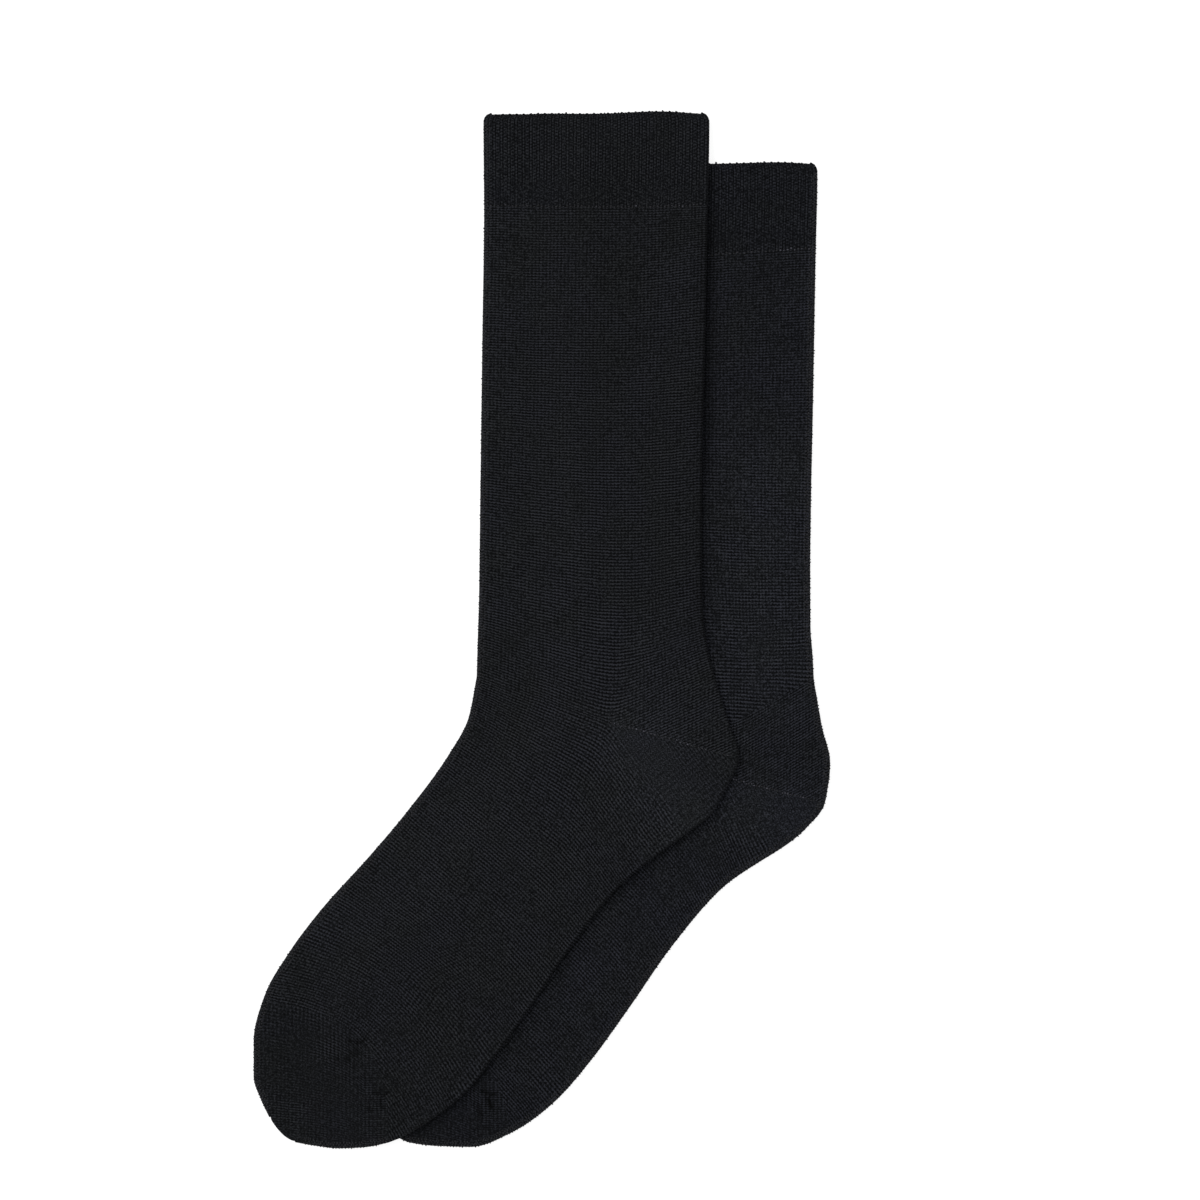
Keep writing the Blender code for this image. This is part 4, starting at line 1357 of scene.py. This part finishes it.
def knit_material(knit):
    """Cotton knit: colour from dark gap over yarn to light tip by the height of the yarn; the gap's dark is
    painted shade and the tip's light a painted highlight.
    """
    nodes = Nodes(knit.name, knit.yarn)
    split = nodes.add("SeparateXYZ", {0: nodes.add("UVMap", uv_map="stitches").outputs["UV"]})
    where = nodes.add("TexCoord").outputs["Object"]
    course = nodes.math("MULTIPLY_ADD", nodes.noise(where, WANDER_SCALE, 1.0), WANDER, split.outputs["Y"])
    height = yarn_height(nodes, knit, split.outputs["X"], course, where)

    clouded = nodes.between(nodes.noise(where, CLOUD_SCALE, 3.0), *CLOUD_RANGE, *CLOUDS)
    # the tone brings the table's tones with their painted highlight and shade, and the puckers' painted
    # shade
    shade = nodes.math("MULTIPLY", clouded, nodes.math("ADD", nodes.share("tone"), 1.0))
    tint = nodes.between(nodes.noise(where, TINT_SCALE, 2.0), *TINT_RANGE, 0, 1)
    hue = nodes.add("Mix", {"Factor": tint, "A": LESS_BLUE, "B": MORE_BLUE}, data_type="RGBA").outputs[2]
    # the back sock's painted bluer light
    more_blue = nodes.math("ADD", nodes.share("blue"), 1.0)
    in_light = nodes.add("CombineXYZ", {0: 1.0, 1: 1.0, 2: more_blue}).outputs[0]

    ramp = nodes.add("ValToRGB", {0: height})
    stops = ramp.color_ramp.elements
    stops[0].color, stops[1].color = linear(knit.gap), linear(knit.tip)
    stops.new(0.5).color = linear(knit.yarn)
    colour = nodes.vector("MULTIPLY", {0: ramp.outputs["Color"], 1: hue})
    colour = nodes.vector("MULTIPLY", {0: colour, 1: in_light})
    colour = nodes.vector("SCALE", {0: colour, "Scale": shade})
    bump = nodes.add("Bump", {"Height": height, "Strength": 1.0, "Distance": knit.bump * MM}).outputs[0]
    return nodes.finish(
        {
            "Base Color": colour,
            "Normal": bump,
            "Roughness": 0.9,
            "Specular IOR Level": 0.08,
            "Sheen Weight": 0.03,
            "Sheen Roughness": 0.5,
            "Sheen Tint": linear("9A9AA6"),
        }
    )


# %% [markdown]
# All four are knitted of one yarn, which looks a shade deeper in the rib. They differ in how plainly their
# courses and wales show, in the shares rows and wales, and in how even they are. The rib's ridges are real
# relief, and its pattern adds the stitches. Each dye runs from gap over yarn to tip: painted shade in the
# gaps between stitches, the yarn's own colour, and a painted highlight on the loops' tops.

# %% The four knits
# painted shade in the gaps, the yarn's own colour, and a painted highlight on the tips
DYE_AND_PAINTED_LIGHT = ("020203", "111214", "2C2D31")  # gap, yarn and tip
RIB_DYE_AND_PAINTED_LIGHT = ("020203", "0E0F12", "2A2B2E")
KNITS = {
    "cuff": Knit("cotton rib knit", "rib_knit", *RIB_DYE_AND_PAINTED_LIGHT, True, 0.64, 0.32, 0.6, 0.3, 0.95, 0.58, 0.15),
    "leg": Knit("cotton plain knit", "plain_knit", *DYE_AND_PAINTED_LIGHT, False, 0.84, 0.29, 0.6, 0.3, 0.90, 0.58, 0.18),
    "heel": Knit("cotton heel knit", "heel_knit", *DYE_AND_PAINTED_LIGHT, False, 0.36, 0.22, 0.6, 0.15, 0.90, 0.48, 0.12),
    "toe": Knit("cotton toe knit", "toe_knit", *DYE_AND_PAINTED_LIGHT, False, 0.36, 0.22, 0.6, 0.5, 0.75, 0.60, 0.12),
}
finishes = {piece: knit_material(knit) for piece, knit in KNITS.items()}
print("materials:", [material.name for material in finishes.values()])

# %% [markdown]
# ## Single loops
#
# Where the rib ends the knitter's machine changes its work, and some held stitches of that row show as small
# light beads. The gore line of the heel has them too. Along the folds the loops stand open, side by side,
# and catch the light by turns: their tone paints that as highlight and shade. Each bead is a small closed
# form, a grid round an ellipsoid, and all beads of a row are one mesh.

# %% Beads of yarn
BEAD_ROUND = 6
BEAD_RINGS = 3


def bead_form():
    """Points and quads of a ball: rings at equal turns from pole to pole, closed by welded poles."""
    turn = np.linspace(0, math.pi, BEAD_RINGS + 2)[:, None]
    way = np.linspace(0, 2 * math.pi, BEAD_ROUND, endpoint=False)[None]
    ring = np.sin(turn)
    grid = np.stack([ring * np.cos(way), ring * np.sin(way), np.cos(turn) + 0 * way], axis=-1)
    number = np.arange(grid.shape[0] * BEAD_ROUND).reshape(grid.shape[:2])
    number[0] = number[0, 0]
    number[-1] = number[-1, 0]
    after = np.roll(number, -1, axis=1)
    quads = np.stack([number[:-1], number[1:], after[1:], after[:-1]], axis=-1).reshape(-1, 4)
    return grid.reshape(-1, 3), quads


print("faces of a bead:", len(bead_form()[1]))


# %% A row of beads
def bead_row(name, places, way, sizes, tones):
    """A bead at each place, its long side along way: the ball's points times the sizes, turned."""
    ball, quads = bead_form()
    way = unit(way)
    across = np.stack([-way[:, 1], way[:, 0]], axis=1)
    long, wide, high = (ball[:, i][None, :, None] * sizes[:, i][:, None, None] for i in range(3))
    points = np.empty((len(places), len(ball), 3))
    points[..., :2] = places[:, None, :2] + long * way[:, None] + wide * across[:, None]
    points[..., 2] = places[:, 2][:, None] + high[..., 0]
    start = np.arange(len(places))[:, None, None] * len(ball)
    faces = (quads[None] + start).reshape(-1, 4)
    return add_beads(name, points.reshape(-1, 3), faces, np.repeat(tones, len(ball)))


def add_beads(name, points, faces, tone):
    """Quads at a pole have two equal corners there, so they become triangles."""
    used, faces, places = used_points(points, faces)
    mesh = bpy.data.meshes.new(name)
    mesh.from_pydata(places.tolist(), [], [tuple(dict.fromkeys(face)) for face in faces.tolist()])
    add_share(mesh, "tone", tone[used])
    mesh.shade_smooth()
    print(f"{name}: {sum(len(face.vertices) - 2 for face in mesh.polygons)} triangles")
    return add_object(name, mesh)


# %% [markdown]
# Only one held stitch in ten or twenty is light, save at the back sock's outer end, where most are. The
# gore's are lightest near the heel's inner end. The cuff's edge ends in small loops of its own, hardly
# lighter than the cloth.

# %% Sizes and tones of the light stitches
BEAD_SIZE = (0.42, 0.30, 0.20)  # half the length, width and height
BEAD_SCALES = (0.7, 1.15)
BEAD_STRAY = 0.2  # how far a bead strays from its row
BEAD_LIFT = 0.02
LIGHT_TONES = (1.2, 7.0)
PLAIN_TONES = (0.2, 1.2)  # every other bead that is not light
DARK_TONE = -0.5  # the rest
STEP_ACROSS = 0.01  # the row's direction is taken over this much of the place across
SEED = 5
random = np.random.default_rng(SEED)
extras = {(kind, sock): [] for kind in ("cuff", "leg", "heel", "toe") for sock in PLANS}


# %% Beads along a row of stitches
def stitches_on_row(name, sock, place, station, light_share, height=THICKNESS):
    """Beads along the row at one station, at the given places across and the given height over what lies
    under, sunk into the cloth. light_share is the share of light ones at each place."""
    wanted = np.array([station])
    upper = slice(0, LAYER_STEPS + 1)
    row = row_points(PLANS[sock], wanted)[0][0, upper].copy()
    row[:, 1] += edge_shift(sock, wanted)[0, upper]
    across = ACROSS[upper]
    flat = np.stack([np.interp(place, across, row[:, i]) for i in (0, 1)], axis=1)
    near = np.stack([np.interp(place + STEP_ACROSS, across, row[:, i]) for i in (0, 1)], axis=1)
    way = near - flat
    flat[:, 1] += random.normal(0, BEAD_STRAY, len(flat))
    light = random.random(len(flat)) < light_share
    even = np.arange(len(flat)) % 2 == 0
    plain = np.where(even, random.uniform(*PLAIN_TONES, len(flat)), DARK_TONE)
    tones = np.where(light, random.uniform(*LIGHT_TONES, len(flat)), plain)
    sizes = np.array(BEAD_SIZE) * random.uniform(*BEAD_SCALES, (len(flat), 1))
    top = ground(sock, flat[None])[0] + height + BEAD_LIFT
    return bead_row(name, np.column_stack([flat, top]), way, sizes, tones)


# %% Light stitches at the cuffs and along the gore lines
cuff_places = (np.arange(1, WALES_ON_A_SIDE) / WALES_ON_A_SIDE) * 2 - 1
GORE_STITCHES = 34
GORE_END = 0.97  # place across of the last one
gore_places = np.linspace(KNEE_PLACE + STEP_ACROSS, GORE_END, GORE_STITCHES)
# places across, each with the share of light stitches there
GORE_LIGHT = ((KNEE_PLACE, 0.75), (0.6, 0.4), (0.8, 0.3), (GORE_END, 0.0))
HELD_LIGHT = {"front": ((0.0, 0.10),), "back": ((0.0, 0.04), (0.68, 0.06), (0.74, 0.75))}
EDGE_LIGHT = 0.03
EDGE_INSET = 0.3  # station of the edge's loops, just under the lip's top
EDGE_RISE = 0.3
EDGE_HEIGHT = THICKNESS - LIP + EDGE_RISE
gore_light = np.interp(gore_places, *zip(*GORE_LIGHT))
for sock, plan in PLANS.items():
    end = plan.station("cuff_end")
    gore_line = plan.station("heel_gore")
    held_light = np.interp(cuff_places, *zip(*HELD_LIGHT[sock]))
    held = stitches_on_row(f"{sock}_held_stitches", sock, cuff_places, end, held_light)
    edge = stitches_on_row(f"{sock}_edge_stitches", sock, cuff_places, EDGE_INSET, EDGE_LIGHT, EDGE_HEIGHT)
    extras["cuff", sock] += [held, edge]
    gore = stitches_on_row(f"{sock}_gore_stitches", sock, gore_places, gore_line, gore_light)
    extras["heel", sock].append(gore)

# %% [markdown]
# Along a fold the loops lie in short rows across the edge, light and dark by turns: painted highlight and
# painted shade, as they catch the light or not. Each stretch of fold in the table has its own strength, from
# hardly seen to plain.

# %% Stretches of fold
Fold = namedtuple("Fold", "sock kind line first last strength")

FOLDS = (
    Fold("front", "cuff", "instep", "cuff_lip", "cuff_end", 0.6),
    Fold("front", "leg", "instep", "cuff_end", "shin", 0.6),
    Fold("front", "leg", "instep", "shin", "ankle", 1.2),
    Fold("front", "leg", "instep", "ankle", "toe_start", 0.5),
    Fold("front", "toe", "instep", "toe_start", "toe_tip", 1.0),
    Fold("front", "toe", "sole", "toe_start", "toe_tip", 0.6),
    Fold("back", "cuff", "sole", "cuff_lip", "cuff_end", 0.4),
    Fold("back", "leg", "sole", "cuff_end", "heel_start", 0.8),
    Fold("back", "leg", "sole", "heel_end", "toe_start", 0.4),
    Fold("back", "heel", "sole", "heel_start", "heel_end", 0.5),
    Fold("back", "toe", "sole", "toe_start", "toe_tip", 0.6),
)
LOOP_SPACING = 1.25
CORNER = 3.5  # rounded off at each end of the closed toe, and free of loops
LOOP_INSETS = (0.25, 0.85, 1.6, 2.4)
LOOP_SIZE = (0.40, 0.28, 0.16)
LOOP_SCALES = (0.75, 1.2)
LOOP_STRAY = 0.12  # along the fold
LOOP_JITTER = 0.1  # across it
LOOP_SUNK = 0.03
# the fold loops' tones from here on are painted highlight and painted shade, light and dark by turns along
# the fold
LOOP_PAINTED_LIGHT_TURNS = (1.0, -0.6)  # light and dark by turns
LOOP_TONES = (0.3, 1.9)
LOOP_UNEVEN = 0.3
LOOP_DARKER = 0.1
LOOP_DARKEST = -0.8
LOOP_FADING = 0.5  # the rows fade with each step in from the edge
FOLD_PARTS = 800


# %% Places of the loops
def loops_on_fold(fold):
    """Places on the fold's curve at equal lengths along the line and at each inset from the outline, with
    their ways across the edge and their tones, painted highlight and painted shade by turns."""
    plan = PLANS[fold.sock]
    fine = np.linspace(plan.station(fold.first), plan.station(fold.last), FOLD_PARTS)
    points = plan.at(fold.line, fine)
    length = np.concatenate([[0], np.cumsum(np.linalg.norm(np.diff(points, axis=0), axis=1))])
    end = length[-1] - (CORNER if fold.last == "toe_tip" else 0)
    wanted = np.interp(np.arange(LOOP_SPACING / 2, end, LOOP_SPACING), length, fine)
    found = []
    for number, inset in enumerate(LOOP_INSETS):
        moved = wanted + random.normal(0, LOOP_STRAY, len(wanted)) + number % 2 * LOOP_SPACING / 2
        moved = np.clip(moved, fine[0], fine[-1])
        way = outward(plan, fold.line, moved)
        depth = inset + random.normal(0, LOOP_JITTER, len(wanted))
        flat = plan.at(fold.line, moved) - depth[:, None] * way
        on_curve = 1 - np.clip(1 - depth / FOLD_RADIUS, 0, 1) ** 2
        height = ground(fold.sock, flat[None])[0] + FOLD_RADIUS * (1 + np.sqrt(on_curve)) - LOOP_SUNK
        by_turns = np.where(np.arange(len(wanted)) % 2 == 0, *LOOP_PAINTED_LIGHT_TURNS)
        strong = by_turns * random.uniform(*LOOP_TONES, len(wanted))
        uneven = random.uniform(-LOOP_UNEVEN, LOOP_UNEVEN, len(wanted))
        tones = fold.strength / (1 + LOOP_FADING * number) * (strong + uneven)
        found.append((np.column_stack([flat, height]), way, tones - LOOP_DARKER))
    return [np.concatenate(part) for part in zip(*found)]


# %% Make the loops
for kind, sock in extras:
    rows = [loops_on_fold(fold) for fold in FOLDS if (fold.kind, fold.sock) == (kind, sock)]
    if rows:
        places, ways, tones = (np.concatenate(part) for part in zip(*rows))
        sizes = np.array(LOOP_SIZE) * random.uniform(*LOOP_SCALES, (len(places), 1))
        tones = np.maximum(tones, LOOP_DARKEST)
        loops = bead_row(f"{sock}_{kind}_edge_loops", places, ways, sizes, tones)
        extras[kind, sock].append(loops)

# %% [markdown]
# The beads are single loops of the same yarn in plain light grey-black: no pattern, only their own tone,
# which on the folds' loops is painted highlight and shade.


# %% Yarn of the single stitches
LOOP_COLOUR = "17171B"


def bead_material():
    """Cotton yarn, one loop at a time: its base colour times one plus the tone, which on the folds' loops is
    painted highlight and shade.
    """
    nodes = Nodes("cotton yarn loops", LOOP_COLOUR)
    toned = nodes.math("ADD", nodes.share("tone"), 1.0)
    colour = nodes.vector("SCALE", {0: linear(LOOP_COLOUR)[:3], "Scale": toned})
    return nodes.finish({"Base Color": colour, "Roughness": 0.85})


loop_yarn = bead_material()

# %% [markdown]
# ## Hand the pieces over
#
# Each piece rides on the one body, takes the place of its solid and is given its finish.

# %% Ride, replace and finish
Cut = namedtuple("Cut", "width length area")

PIECES = {"cuff": cuffs, "leg": legs, "heel": heels, "toe": toes}
NODES = {"cuff": "cuff", "leg": "leg_and_foot", "heel": "heel", "toe": "toe"}

for kind, by_sock in PIECES.items():
    for sock, piece in by_sock.items():
        piece.data.materials.append(finishes[kind])
        if kind == "heel":
            piece.data.materials.append(finishes["leg"])
        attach(piece, "root")
        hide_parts(f"{sock}_{NODES[kind]}")
        extra = extras[kind, sock]
        for beads in extra:
            beads.data.materials.append(loop_yarn)
            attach(beads, "root")

# %% [markdown]
# ## Floor, light and camera
#
# The pair lies on a white light table: a floor that glows a little, so that no shadow is left on it. The
# light is a pale sky all round and one large soft panel at the upper left.

# %% Floor
FLOOR_SIZE = 6.0
FLOOR_LEVEL = -0.0004
FLOOR_COLOUR = "9A9A9A"
FLOOR_GLOW = 0.85


def floor_material():
    """White acrylic with a glow of its own."""
    nodes = Nodes("white acrylic light table", FLOOR_COLOUR)
    return nodes.finish(
        {
            "Base Color": linear(FLOOR_COLOUR),
            "Roughness": 1.0,
            "Specular IOR Level": 0.0,
            "Emission Color": linear("FFFFFF"),
            "Emission Strength": FLOOR_GLOW,
        }
    )


floor_mesh = bpy.data.meshes.new("floor")
half_floor = FLOOR_SIZE / 2
corners = [(x * half_floor, y * half_floor) for x, y in ((-1, -1), (1, -1), (1, 1), (-1, 1))]
floor_mesh.from_pydata([(x, y, FLOOR_LEVEL) for x, y in corners], [], [(0, 1, 2, 3)])
floor_mesh.materials.append(floor_material())
floor = add_object("floor", floor_mesh)

# %% Sky and softbox
SKY = 0.60
PANEL_SIZE = 2.0
PANEL_WATTS = 40.0
PANEL_PLACE = (-1.6, 1.0, 1.6)
PANEL_TILT = (-32, -42, 0)

world = bpy.data.worlds.new("pale studio")
bpy.context.scene.world = world
world.use_nodes = True
sky = world.node_tree.nodes["Background"]
sky.inputs["Color"].default_value = (1, 1, 1, 1)
sky.inputs["Strength"].default_value = SKY

panel_light = bpy.data.lights.new("soft panel", "AREA")
panel_light.shape = "RECTANGLE"
panel_light.size = PANEL_SIZE
panel_light.size_y = PANEL_SIZE
panel_light.energy = PANEL_WATTS
panel = add_object("soft panel", panel_light)
panel.location = PANEL_PLACE
panel.rotation_euler = [math.radians(angle) for angle in PANEL_TILT]

# %% Camera, straight above
LENS = 100.0
SENSOR = 36.0
VIEW_WIDTH = 0.48
VIEW_MIDDLE = (0.02325, 0.01214)

camera_data = bpy.data.cameras.new("camera")
camera_data.lens = LENS
camera_data.sensor_width = SENSOR
camera_data.sensor_fit = "AUTO"
camera = add_object("camera", camera_data)
camera.location = (*VIEW_MIDDLE, VIEW_WIDTH * LENS / SENSOR + THICKNESS * MM)
bpy.context.scene.camera = camera
bpy.context.scene.view_settings.view_transform = "Standard"
print("camera height:", round(camera.location.z, 3), "m")
